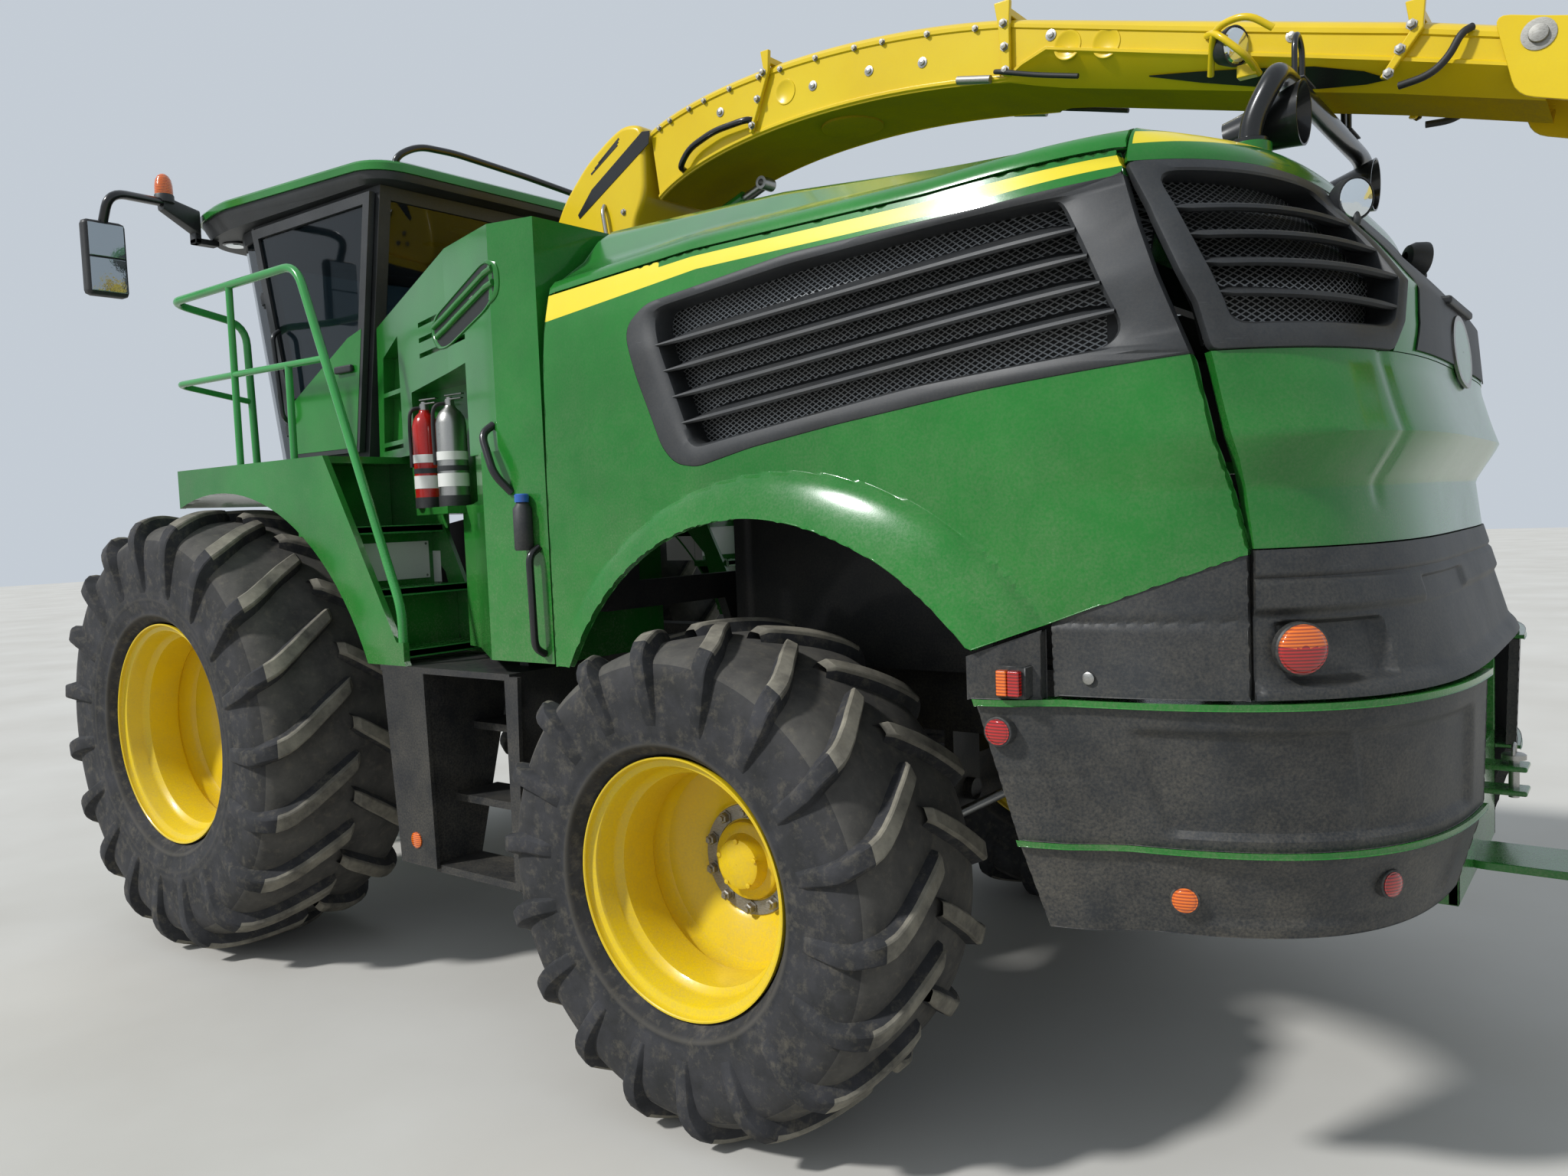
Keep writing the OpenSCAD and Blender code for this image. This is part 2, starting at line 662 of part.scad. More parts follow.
// Point of the tail's top, which arches from the rim to a seam behind the hood
function cap_point(c, t, d) =
    let (rim = tail_at(c, rim_top, d),
         y1 = rim[1] * lookup(min(c, 180 - c), [[0, 0.94], [45, 0.87], [57.5, 0.8]]),
         z1 = lookup(abs(y1), [[0, 2968], [520, 2958], [1045, 2930], [1260, 2912]]) - d)
    [mix(rim[0], seam_x, 1 - cos(90 * t)), mix(rim[1], y1, 1 - cos(90 * t)), mix(rim_top, z1, sin(90 * t))];

rest_x = -1480;
rest_y = 645;
boss_top = 2965;
// Centres of an exhaust horn's narrow end and of its open mouth, with their radii
horn_from = [-1385, 520, 3024];
horn_to = [-1600, 520, 3062];
horn_r = [54, 90];
horn_foot = [-1462, 520];
arm_z = 2030;

module tail_hood() {
    color(paint_green) from_rear_axle() {
        tail_skin(TAIL_COLUMNS, [green_low, 1915, 1985, 2060, 2110, 2190, grille_low], 0, panel_t);
        tail_skin([-1, 85, 90, 95, -2], GRILLE_ROWS, 0, panel_t);
        grid_shell(
            [for (c = TAIL_COLUMNS)
                concat([tail_at(c, rim_top, 0)], [for (t = [0.35, 0.7, 1]) cap_point(c, t, 0)])],
            [for (c = TAIL_COLUMNS)
                concat([tail_at(c, rim_top, panel_t)], [for (t = [0.35, 0.7, 1]) cap_point(c, t, panel_t)])]);
        // Level bosses for the spout rest and the exhausts
        both_sides() {
            translate([rest_x, rest_y, boss_top - 60]) cylinder(r = 62, h = 60);
            translate([horn_foot[0], horn_foot[1], boss_top - 60]) cylinder(r = 48, h = 60);
        }
        // Brackets to the body frame
        both_sides() block([-1912, 500, arm_z], [bulk_rear[0], 560, arm_z + 40]);
    }
}

// Point of the tail grille's blade k, whose columns run from the left post to the strip's post
function tail_blade(i, k, d, up) =
    let (z = mix(2685 - 75 * k, 2690 - 84 * k, i / 3),
         angle = [35, 45, 57.5, strip_edge(z) - post_turn + 1][i])
    tail_point(angle, z, d) + [0, 0, up];

module tail_grille() {
    color(plastic_black) from_rear_axle() both_sides() {
        tail_skin([0, 45, 57.5, -4], [grille_low, 2378], 0, panel_t);
        tail_skin([0, 45, 57.5, 68, -4], [2790, rim_top], 0, panel_t);
        tail_skin([0, 36.5], [2378, 2400, 2515, 2600, 2650, 2765, 2790], 0, panel_t);
        tail_skin([-3, -4], [2378, 2400, 2515, 2600, 2650, 2765, 2790], 0, panel_t);
        for (k = [0 : tail_blades - 1])
            grid_shell([for (i = [0 : 3]) [tail_blade(i, k, 6, -12), tail_blade(i, k, 6, 0)]],
                       [for (i = [0 : 3]) [tail_blade(i, k, 90, 14), tail_blade(i, k, 90, 26)]]);
    }
}

module tail_band() {
    color(plastic_black) from_rear_axle() {
        tail_skin(TAIL_COLUMNS, [band_low, 1505, 1600, 1700, green_low], 0, panel_t);
        // Brackets that stand on the rails
        both_sides() {
            block([-1990, 440, 1500], [-1640, 500, 1540]);
            block([-1700, 440, rail_top], [-1640, 500, 1510]);
        }
        for (side = [1, -1]) for (l = LAMPS) if (l[1] > band_low) lamp_seat(l, side);
    }
}

// Lamps and reflectors as [plan angle, height, radius, how far they stand out]
LAMPS = [[42, 1588, 62, 30], [23.8, 933, 32, 14], [57.3, 964, 32, 12]];
// Round reflector on a mudguard as [station, height], and the ends of the marker lamp above it
guard_lamp = [-1058, 1374];
marker = [[-1130, 1468], [-1062, 1541]];

// Puts something at a lamp's place with its axis straight out of the skin
module on_skin(angle, z, side) {
    p = tail_point(angle, z);
    a = tail_point(angle - 1, z);
    b = tail_point(angle + 1, z);
    mirror([0, side < 0 ? 1 : 0, 0]) translate(p)
        rotate([0, 0, atan2(b[0] - a[0], a[1] - b[1]) - 180]) rotate([0, 90, 0]) rotate([0, 0, 0])
            children();
}

module lamp_seat(l, side) {
    on_skin(l[0], l[1], side) translate([0, 0, -16]) cylinder(r = l[2] + 6, h = 24);
}

module lamps() {
    color([0.7, 0.1, 0.05]) from_rear_axle()
        for (side = [1, -1]) for (l = LAMPS)
            on_skin(l[0], l[1], side) translate([0, 0, 8]) cylinder(r = l[2], h = l[3]);
    color([0.7, 0.1, 0.05]) from_rear_axle() both_sides() {
        across(guard_lamp, 34, 1486, 1496);
        block([marker[0][0], 1478, marker[0][1]], [marker[1][0], 1506, marker[1][1]]);
    }
}

/* Rear skirt, mudguards and hitch */

bar_z = [1062, 1074];
top_bar_z = [1441, 1455];
skirt_low = 830;
post_y = [420, 440];

// Skirt columns: 0 and 1 on the mudguard, then plan angles round to the hitch post
SKIRT_ANGLES = [20, 30, 42, 55, 68, 78];

function skirt_point(i, z, d) =
    let (x0 = mix(-1133, -967, (z - skirt_low) / (arch_end_z - skirt_low)))
    i == 0 ? [x0, body_y(x0, z, d) + arch_flare, z]
    : i == 1 ? [x0 - 90, body_y(x0 - 90, z, d) + arch_flare * 0.75, z]
    : i == 2 ? tail_point(mix(20.5, 12, (z - skirt_low) / (top_bar_z[0] - skirt_low)), z, d)
    : tail_point(i == 8 ? acos(pow((post_y[1] + 6) / (half_width(z) - d), 2)) : SKIRT_ANGLES[i - 2], z, d);

module skirt_skin(columns, heights) {
    grid_shell([for (i = columns) [for (z = heights) skirt_point(i, z, 0)]],
               [for (i = columns) [for (z = heights) skirt_point(i, z, panel_t)]]);
}

module rear_skirt() {
    color(plastic_black) from_rear_axle() {
        for (side = [0, 1]) mirror([0, side, 0]) {
            skirt_skin([for (i = [0 : 8]) i], [bar_z[1], 1250, top_bar_z[0]]);
            skirt_skin([for (i = [0 : 8]) i], [skirt_low, 950, bar_z[0]]);
            // Mudguard's top, beside the sill
            grid_shell([for (i = [0 : 2]) [for (g = [0, 0.5, 1]) guard_point(i, g, 0)]],
                       [for (i = [0 : 2]) [for (g = [0, 0.5, 1]) guard_point(i, g, panel_t)]]);
            across(guard_lamp, 40, 1440, 1486);
            block([marker[0][0] - 6, 1400, marker[0][1] - 6], [marker[1][0] + 6, 1478, marker[1][1] + 6]);
        }
        for (side = [1, -1]) for (l = LAMPS) if (l[1] < band_low) lamp_seat(l, side);
    }
}

function guard_point(i, g, d) =
    let (x = [-980, -1060, sill_front + 8][i], z = mix(top_bar_z[1], panel_bottom(x) - 18, g))
    [x, body_y(x, z, d) + arch_flare * [1, 0.8, 0.25][i], z];

module strip_plate(z) {
    mid = (z[0] + z[1]) / 2;
    count = 9;
    outer = [for (i = [0 : 8]) skirt_point(i, mid, -14)];
    inner = [for (i = [8 : -1 : 0]) skirt_point(i, mid, 95)];
    translate([0, 0, z[0]]) linear_extrude(z[1] - z[0])
        polygon([for (p = concat(outer, inner)) [p[0], p[1]]]);
}

module skirt_bars() {
    color(paint_green) from_rear_axle() {
        both_sides() {
            strip_plate(bar_z);
            strip_plate(top_bar_z);
            block([-1975, post_y[0], 760], [rail_rear, post_y[1], top_bar_z[1]]);
            for (z = [bar_z, top_bar_z]) block([-2010, post_y[0] + 5, z[0]], [-1960, post_y[1] + 30, z[1]]);
        }
        block([-1975, -post_y[1], 760], [-1945, post_y[1], 1130]);
        // Drawbar plate with its pin hole
        difference() {
            block([-2360, -130, 790], [-1950, 130, 815]);
            translate([-2290, 0, 780]) cylinder(r = 20, h = 50);
        }
        for (z = [1010, 1085]) difference() {
            block([-2110, -55, z], [-1970, 55, z + 16]);
            translate([-2070, 0, z - 1]) cylinder(r = 16, h = 18);
        }
    }
}

// Right half of the hoop's path when side is -1, from its foot to the crossbar
function rest_path(side) =
    [[rest_x, side * rest_y, boss_top + 8], [rest_x - 10, side * rest_y, 3020],
     [-1545, side * (rest_y - 10), 3135], [-1545, side * (rest_y - 55), 3174]];

module spout_rest() {
    color(plastic_black) from_rear_axle() {
        tube(concat(rest_path(1), [for (i = [3 : -1 : 0]) rest_path(-1)[i]]), 32);
        both_sides() translate([rest_x, rest_y, boss_top]) cylinder(r = 50, h = 14);
    }
}

// Exhaust horns, which widen to an open mouth at the rear
module horn(grow, from, to) {
    u = unit(horn_to - horn_from);
    a = horn_from + from * u;
    length = norm(horn_to - horn_from) + to - from;
    translate(a) rotate([0, atan2(u[0], u[2]), 0])
        cylinder(r1 = horn_r[0] + grow, r2 = horn_r[1] + grow, h = length);
}

module exhausts() {
    color(plastic_black) from_rear_axle() both_sides() difference() {
        union() {
            horn(0, 0, 0);
            translate([horn_foot[0], horn_foot[1], boss_top]) cylinder(r = 40, h = 60);
        }
        horn(-6, 8, 1);
    }
}

/* Crop channel and feed housing */

module crop_channel() {
    color(steel_dark) from_rear_axle() {
        side_plate([[2500, 1190], [3440, 1190], [3440, 1650], [3200, 1900], [2500, 2000],
                    [2250, 1700]], -400, 400);
        both_sides() block([2700, 390, rail_low + 40], [3300, rail_in, rail_top - 20]);
        difference() {
            union() {
                side_plate([[2300, 1500], [2700, 1500], [2500, 2000], [2100, 2500], [1950, 3100],
                            [1340, 3100], [1340, 2800], [1700, 1900]], -250, 250);
                translate([turret_x, 0, turret_z - 90]) cylinder(r = turret_r + 35, h = 90);
            }
            translate([turret_x, 0, turret_z - 70]) cylinder(r = turret_r + pin_gap, h = 71);
        }
    }
}

// Cylinder pin on the chassis and rod eye on the feed housing, as [station, height]
lift_pin = [3400, 960];
lift_eye = [4300, 640];
lift_length = norm(lift_eye - lift_pin);
lift_tilt = atan2(lift_eye[1] - lift_pin[1], lift_eye[0] - lift_pin[0]);
roll_up = [4220, 1080];
roll_low = [4200, 700];
feed_front = feed_pivot_x + feed_len - 60;

module across(at, r, y0, y1) {
    translate([at[0], y0, at[1]]) rotate([-90, 0, 0]) cylinder(r = r, h = y1 - y0);
}

module feed_housing() {
    wall = 15;
    color(paint_green) from_rear_axle() {
        difference() {
            side_plate([[3540, 1010], [3540, 1330], [feed_front, 1330], [feed_front, 500],
                        [3860, 560]], -feed_half - wall, feed_half + wall);
            side_plate([[3900, 620], [3900, 1290], [feed_front + 1, 1290], [feed_front + 1, 540]],
                       -feed_half, feed_half);
            for (a = [roll_up, roll_low]) across(a, 25 + pin_gap, -500, 500);
        }
        // Front frame with the hooks and latch plates that hold an attachment
        difference() {
            block([feed_front, -480, 470], [feed_front + 40, 480, 1390]);
            block([feed_front - 1, -feed_half, 540], [feed_front + 41, feed_half, 1290]);
        }
        both_sides() {
            across([feed_pivot_x, feed_pivot_z], 30, feed_half + 5, 480);
            side_plate([[feed_front + 30, 1250], [feed_front + 120, 1310], [feed_front + 120, 1420],
                        [feed_front + 95, 1420], [feed_front + 80, 1340], [feed_front + 30, 1340]],
                       400, 440);
            difference() {
                block([feed_front + 30, 410, 480], [feed_front + 120, 435, 580]);
                across([feed_front + 80, 530], 15, 409, 436);
            }
            // Cheeks beside the lift cylinders' rod eyes
            for (y = [feed_half + 5, 530])
                block([lift_eye[0] - 45, y, lift_eye[1] - 45], [lift_eye[0] + 45, y + 15, lift_eye[1] + 95]);
            block([lift_eye[0] - 45, feed_half + 5, lift_eye[1] + 60],
                  [lift_eye[0] + 45, 545, lift_eye[1] + 95]);
        }
    }
}

module feed_roll(at, r, slats) {
    color(steel_bare) from_rear_axle() {
        across(at, r - 30, -feed_half + 12, feed_half - 12);
        across(at, 25, -feed_half - 14, feed_half + 14);
        translate([at[0], 0, at[1]]) for (k = [0 : slats - 1])
            rotate([0, k * 360 / slats, 0])
                block([-7, -feed_half + 12, 20], [7, feed_half - 12, r]);
    }
}

// Along a cylinder: X from its pin towards its rod's eye
module along_lift() {
    translate([lift_pin[0], 0, lift_pin[1]]) rotate([0, -lift_tilt, 0]) children();
}

lift_y = [442, 523];

module header_lift_barrels() {
    color(paint_green) from_rear_axle() both_sides() along_lift() difference() {
        union() {
            across([0, 0], 48, lift_y[0] + 4, lift_y[1] - 4);
            translate([0, (lift_y[0] + lift_y[1]) / 2, 0]) rotate([0, 90, 0]) cylinder(r = 36, h = 640);
            translate([600, (lift_y[0] + lift_y[1]) / 2, 0]) rotate([0, 90, 0]) cylinder(r = 40, h = 45);
        }
        across([0, 0], 20 + pin_gap, lift_y[0], lift_y[1]);
        translate([90, (lift_y[0] + lift_y[1]) / 2, 0]) rotate([0, 90, 0])
            cylinder(r = 25 + pin_gap, h = 600);
    }
}

module header_lift_rods() {
    color(steel_bare) from_rear_axle() both_sides() along_lift() difference() {
        union() {
            across([lift_length, 0], 42, lift_y[0] + 4, lift_y[1] - 4);
            translate([lift_length - 560, (lift_y[0] + lift_y[1]) / 2, 0]) rotate([0, 90, 0])
                cylinder(r = 25, h = 540);
        }
        across([lift_length, 0], 20 + pin_gap, lift_y[0], lift_y[1]);
    }
}

/* Platforms, consoles, steps and rails */

fender_x = 3050;
fender_z = 920;
fender_r = 1245;
stair_foot = [1640, 1405];
stair_top = [2150, deck_z];
deck_front = 3430;
plate_t = 28;
// Tread heights with their front and rear stations
TREADS = [[1461, 1690, 1920], [1711, 1834, 2080], [1976, 1986, 2380]];

function fender_arc(from, to, step) =
    [for (a = [from : step : to]) [fender_x + fender_r * cos(a), fender_z + fender_r * sin(a)]];

module platform(side) {
    first = acos((deck_front - fender_x) / fender_r);
    last = 180 - asin((stair_foot[1] - fender_z) / fender_r);
    arc = fender_arc(first, last, (last - first) / 24);
    color(paint_green) from_rear_axle() mirror([0, side < 0 ? 1 : 0, 0]) {
        side_plate(concat([[deck_front, deck_z], stair_top, stair_foot],
                          [for (i = [len(arc) - 1 : -1 : 0]) arc[i]]), deck_out - plate_t, deck_out);
        block([stair_top[0] + 20, cab_half, deck_z - 30], [deck_front, deck_out - 5, deck_z]);
        // Inner wall behind the treads
        side_plate([[2300, deck_z - 30], stair_top + [-20, -30], stair_foot + [60, 0], [1890, stair_foot[1]],
                    [1990, 1760], [2300, 2080]], cab_half - 15, cab_half + 5);
        // Arch sheet over the front wheel
        intersection() {
            difference() {
                across([fender_x, fender_z], fender_r + 12, cab_half + 3, deck_out - 5);
                across([fender_x, fender_z], fender_r + 2, cab_half, deck_out);
            }
            block([1700, 900, stair_foot[1]], [deck_front, 1400, 2300]);
        }
        for (t = TREADS) block([t[1], cab_half, t[0] - 30], [t[2], deck_out - 5, t[0]]);
        // Foot of the handrail
        block([1650, deck_out - plate_t, 1410], [1700, deck_out, 1500]);
    }
}

console_z = [1455, 2236];
niche_floor = 2050;
CONSOLE_LOW = [[750, 1380], [750, 800], [1640, 800], [1640, 1060], [1520, 1100], [1100, 1380]];
CONSOLE_HIGH = [[750, 1380], [750, 800], [2480, 800], [2480, 880], [1500, 1200], [1000, 1380]];
// Side views of the niche that holds the extinguishers and of the shelf recess beside the cab
NICHE = [[1300, 2061], [1630, niche_floor], [1970, niche_floor], [1970, 2560], [1300, 2600]];
SHELF = [[2120, 2330], [2400, 2330], [2340, 2760], [2120, 2830]];
SHELF_HEIGHTS = [2369, 2598];

module console(side) {
    color(paint_green) from_rear_axle() mirror([0, side < 0 ? 1 : 0, 0]) {
        difference() {
            union() {
                translate([0, 0, console_z[0]]) linear_extrude(console_z[1] - console_z[0])
                    polygon(CONSOLE_LOW);
                intersection() {
                    translate([0, 0, 1990]) linear_extrude(1210) polygon(CONSOLE_HIGH);
                    side_plate([[700, console_z[1]], [1600, console_z[1]], [1600, 2020], [1990, 2020],
                                [2020, deck_z], [2480, deck_z], [2415, 2910], [1477, 3078], [1000, 3060],
                                [700, 3040]], 700, 1400);
                }
            }
            side_plate(NICHE, 965, 1400);
            difference() {
                side_plate(SHELF, 860, 1400);
                for (z = SHELF_HEIGHTS) block([2100, 850, z - 20], [2420, 1400, z]);
            }
            // Cooling slots in the slanting face
            for (z = [2700, 2765, 2830])
                translate([1560, 1180, z]) rotate([0, 0, -18.1]) block([-290, -30, -10], [290, 80, 10]);
        }
        // Brackets to the chassis rail
        for (x = [800, 1420]) {
            block([x, rail_out, 1330], [x + 80, 880, 1390]);
            block([x, 820, 1330], [x + 80, 880, console_z[0]]);
        }
    }
}

// Treads of the lower steps as [height, distance of the outer edge], and their side walls' stations
LOWER_STEPS = [[1150, 1150], [870, 1260], [600, 1370]];
LOWER_WALLS = [1000, 1530];

module lower_steps() {
    color(steel_dark) from_rear_axle() {
        block([1000, 930, 1380], [1818, deck_out, stair_foot[1]]);
        for (x = LOWER_WALLS) translate([x, 0, 0]) rotate([90, 0, 90]) linear_extrude(15)
            polygon([[930, 1385], [1375, 1385], [1375, 585], [1150, 565]]);
        for (t = LOWER_STEPS) block([LOWER_WALLS[0] + 5, t[1] - 220, t[0] - 30], [LOWER_WALLS[1] + 5, t[1], t[0]]);
        // Outer plates ahead of and behind the steps
        side_plate([[1530, 1395], [1808, 1395], [1745, 585], [1510, 585]], 1367, deck_out);
        side_plate([[955, 1395], [1030, 1395], [1030, 585], [985, 585]], 1367, deck_out);
        block([1130, 1120, 1400], [1180, 1180, console_z[0]]);
        block([1400, 1070, 1400], [1450, 1110, console_z[0]]);
    }
}

hand_r = 19;
rail_y = deck_out - hand_r;

module handrails() {
    front = deck_front - 25;
    color(paint_green) from_rear_axle() both_sides() {
        tube([[front, 1000, deck_z], [front, 1000, 3120], [front, rail_y, 3120], [2290, rail_y, 3120],
              [1720, rail_y, 1760], [1675, rail_y, 1640], [1675, rail_y, 1500]], hand_r);
        for (x = [front - 10, 2860, 2400])
            bar([x, rail_y, deck_z], [x, rail_y, 3120], hand_r - 3, $fn = 8);
        bar([front, 1000, 2700], [front - 10, rail_y, 2700], hand_r - 6, $fn = 8);
        bar([front - 10, rail_y, 2700], [2114, rail_y, 2700], hand_r - 6, $fn = 8);
    }
}

// Extinguishers as [station, distance from the centre line, radius]
EXTINGUISHERS = [[1905, 1032, 57], [1692, 1058, 64]];

module extinguishers() {
    color([0.75, 0.08, 0.06]) from_rear_axle() for (e = EXTINGUISHERS) translate([e[0], e[1], niche_floor]) {
        cylinder(r = e[2], h = 380);
        translate([0, 0, 380]) cylinder(r1 = e[2], r2 = 20, h = 50);
        translate([0, 0, 425]) cylinder(r = 20, h = 40);
        block([-14, -20, 455], [14, 60, 478]);
    }
}

/* Cab */

cab_rear = 2540;
door_x = 3150;
// Station of the rear and the middle pillars at a height
function rear_pillar(z) = mix(cab_rear, 2320, (z - deck_z) / (roof_z - deck_z));
function mid_pillar(z) = mix(door_x, 3440, (z - deck_z) / (roof_z - deck_z));
sill_h = 60;
pillar_half = 32;

// Front outline of the cab in plan, t = -1 on the right to 1 on the left, out mm outside the glass
function screen_point(t, z, out = 0) =
    let (x0 = mid_pillar(z) + 30, long = mix(620, 560, (z - deck_z) / (roof_z - deck_z)))
    [x0 + (long + out) * pow(max(0, 1 - pow(abs(t), 3)), 0.55), t * (cab_half - 12 + out), z];

SCREEN_T = [-1, -0.97, -0.9, -0.75, -0.5, -0.2, 0.2, 0.5, 0.75, 0.9, 0.97, 1];

module cab_base() {
    color(steel_dark) from_rear_axle() {
        translate([0, 0, deck_z - 40]) linear_extrude(40)
            polygon(concat([[2400, cab_half], [2400, -cab_half]],
                           [for (t = SCREEN_T) [screen_point(t, deck_z)[0], t * cab_half]]));
        both_sides() for (x = [2560, 3200]) block([x, 440, rail_top], [x + 90, 520, deck_z - 40]);
    }
}

module cab_frame() {
    low = deck_z + sill_h;
    high = roof_z - 60;
    color(plastic_black) from_rear_axle() {
        both_sides() {
            // Rear and middle pillars
            side_plate([[rear_pillar(deck_z), deck_z], [rear_pillar(roof_z), roof_z],
                        [rear_pillar(roof_z) + 80, roof_z], [rear_pillar(deck_z) + 80, deck_z]],
                       cab_half - 60, cab_half);
            side_plate([[mid_pillar(deck_z) - 30, deck_z], [mid_pillar(roof_z) - 30, roof_z],
                        [mid_pillar(roof_z) + 30, roof_z], [mid_pillar(deck_z) + 30, deck_z]],
                       cab_half - 60, cab_half);
            side_plate([[rear_pillar(deck_z) + 60, deck_z], [rear_pillar(low) + 60, low],
                        [mid_pillar(low) - 20, low], [mid_pillar(deck_z) - 20, deck_z]],
                       cab_half - 60, cab_half);
            side_plate([[rear_pillar(high) + 60, high], [rear_pillar(roof_z) + 60, roof_z],
                        [mid_pillar(roof_z) - 20, roof_z], [mid_pillar(high) - 20, high]],
                       cab_half - 60, cab_half);
        }
        block([rear_pillar(deck_z) - 0, -cab_half + 50, deck_z], [rear_pillar(deck_z) + 60, cab_half - 50, low]);
        side_plate([[rear_pillar(high), high], [rear_pillar(roof_z), roof_z], [rear_pillar(roof_z) + 60, roof_z],
                    [rear_pillar(high) + 60, high]], -cab_half + 50, cab_half - 50);
        // Sill and header round the windscreen
        for (z = [[deck_z, low], [high, roof_z]]) screen_band(z, 0, 40);
        // Hinge pins of the door, on a line that leans with the middle pillar
        door_line() for (h = DOOR_HINGES) {
            translate([0, 0, h - 40]) cylinder(r = 9, h = 80);
            for (k = [h - 40, h + 26]) translate([0, 0, k]) block([-9, -22, 0], [9, 6, 14]);
        }
    }
}

module screen_band(z, low_in, thick) {
    grid_shell([for (t = SCREEN_T) [screen_point(t, z[0], -low_in), screen_point(t, z[1], -low_in)]],
               [for (t = SCREEN_T) [screen_point(t, z[0], -low_in - thick) , screen_point(t, z[1], -low_in - thick)]]);
}

door_lean = atan2(mid_pillar(roof_z) - mid_pillar(deck_z), roof_z - deck_z);
DOOR_HINGES = [200, 900];

// Frame of the door's hinge line: Z runs up along the leaning line
module door_line() {
    translate([mid_pillar(deck_z) - 5, cab_half + 22, deck_z]) rotate([0, door_lean, 0]) children();
}

// Door outline in side view, drawn in from the pillars by a margin
function door_outline(m) =
    [[rear_pillar(deck_z + 50 + m) + 30 + m, deck_z + 50 + m],
     [rear_pillar(roof_z - 30 - m) + 30 + m, roof_z - 30 - m],
     [mid_pillar(roof_z - 30 - m) - 30 - m, roof_z - 30 - m],
     [mid_pillar(deck_z + 50 + m) - 30 - m, deck_z + 50 + m]];

// Side view of the painted panel that covers the door's lower rear corner
DOOR_PANEL = [[2400, 2290], [2400, 2940], [2600, 2884], [3049, 2654], [3279, 2534], [3300, 2290]];

module cab_door() {
    color(plastic_black) from_rear_axle() {
        difference() {
            side_plate(door_outline(0), cab_half + 6, cab_half + 36);
            side_plate(door_outline(50), cab_half, cab_half + 40);
        }
        intersection() {
            side_plate(door_outline(20), cab_half + 24, cab_half + 34);
            side_plate(DOOR_PANEL, cab_half, cab_half + 50);
        }
        difference() {
            door_line() for (h = DOOR_HINGES) {
                translate([0, 0, h - 25]) cylinder(r = 16, h = 50);
                block([-60, -6, h - 25], [0, 12, h + 25]);
            }
            door_line() for (h = DOOR_HINGES) translate([0, 0, h - 60]) cylinder(r = 9 + pin_gap, h = 120);
        }
    }
}

module cab_door_glass() {
    color(glass_grey) from_rear_axle()
        side_plate(door_outline(50), cab_half + 14, cab_half + 14 + glass_t);
}

module cab_glass() {
    low = deck_z + sill_h;
    high = roof_z - 60;
    color(glass_grey) from_rear_axle() {
        translate([0.5, 0, 0]) screen_band([low, high], 10, glass_t);
        // Right side window
        side_plate([[rear_pillar(low) + 80.5, low + 0.5], [rear_pillar(high) + 80.5, high - 0.5],
                    [mid_pillar(high) - 30.5, high - 0.5], [mid_pillar(low) - 30.5, low + 0.5]],
                   -cab_half + 10, -cab_half + 10 + glass_t);
        // Rear window
        side_plate([[rear_pillar(low) + 20, low], [rear_pillar(high) + 20, high],
                    [rear_pillar(high) + 20 + glass_t, high], [rear_pillar(low) + 20 + glass_t, low]],
                   -cab_half + 60, cab_half - 60);
    }
}

module cab_roof() {
    color(paint_green) from_rear_axle() {
        intersection() {
            side_plate([[2200, 3590], [2240, roof_z], [4060, roof_z], [4140, 3640], [4140, 3730], [3700, 3768],
                        [3245, 3775], [2600, 3730], [2220, 3650]], -1100, 1100);
            translate([0, 0, 3500]) linear_extrude(400)
                polygon([[2200, 900], [2200, -900], [2300, -985], [3600, -1010], [3900, -960], [4080, -800],
                         [4140, -500], [4140, 500], [4080, 800], [3900, 960], [3600, 1010], [2300, 985]]);
        }
    }
}

module cab_interior() {
    color([0.25, 0.25, 0.26]) from_rear_axle() {
        block([2760, -180, deck_z], [3040, 180, deck_z + 260]);
        block([2700, -270, deck_z + 260], [3180, 270, deck_z + 400]);
        side_plate([[2640, deck_z + 380], [2560, deck_z + 1100], [2680, deck_z + 1100], [2780, deck_z + 380]],
                   -260, 260);
        block([2700, -470, deck_z], [3250, -300, deck_z + 620]);
        block([3500, -70, deck_z], [3620, 70, deck_z + 20]);
        bar([3556, 0, deck_z + 14], [3330, 0, deck_z + 760], 40);
        translate([3330, 0, deck_z + 760]) rotate([0, -17, 0]) cylinder(r = 200, h = 24);
    }
}

// Mirrors on arms that clasp the roof's edge, each with a beacon
module mirrors() {
    color(plastic_black) from_rear_axle() both_sides() {
        block([3830, 880, 3530], [3895, 1010, roof_z]);
        block([3830, 976, 3530], [3895, 1010, 3695]);
        tube([[3862, 992, 3668], [3750, 1200, 3690], [3560, 1555, 3640], [3640, 1560, 3500]], 24);
        translate([3750, 1200, 3690]) cylinder(r = 44, h = 148);
        block([3605, 1460, 3150], [3680, 1660, 3515]);
    }
}

/* Spout */

lift_hinge = [1250, 3620];
tip_hinge = [-2150, 3215];
flap_hinge = [-2640, 3045];
jack_pin = [1285, 3245];
jack_eye = [760, 3430];
jack_length = norm(jack_eye - jack_pin);
jack_rise = atan2(jack_eye[1] - jack_pin[1], jack_pin[0] - jack_eye[0]);

ARM_TOP = concat([for (i = [0 : 10]) bezier([1235, 3735], [950, 3850], [200, 3900], [-530, 3725], i / 10)],
                 [[-1850, 3350], [-2160, 3250]]);
ARM_LOW = concat([for (i = [0 : 10]) bezier([1190, 3400], [950, 3560], [200, 3650], [-608, 3474], i / 10)],
                 [[-1529, 3224], [-1800, 3160], [-2160, 3055]]);

function reversed(list) = [for (i = [len(list) - 1 : -1 : 0]) list[i]];

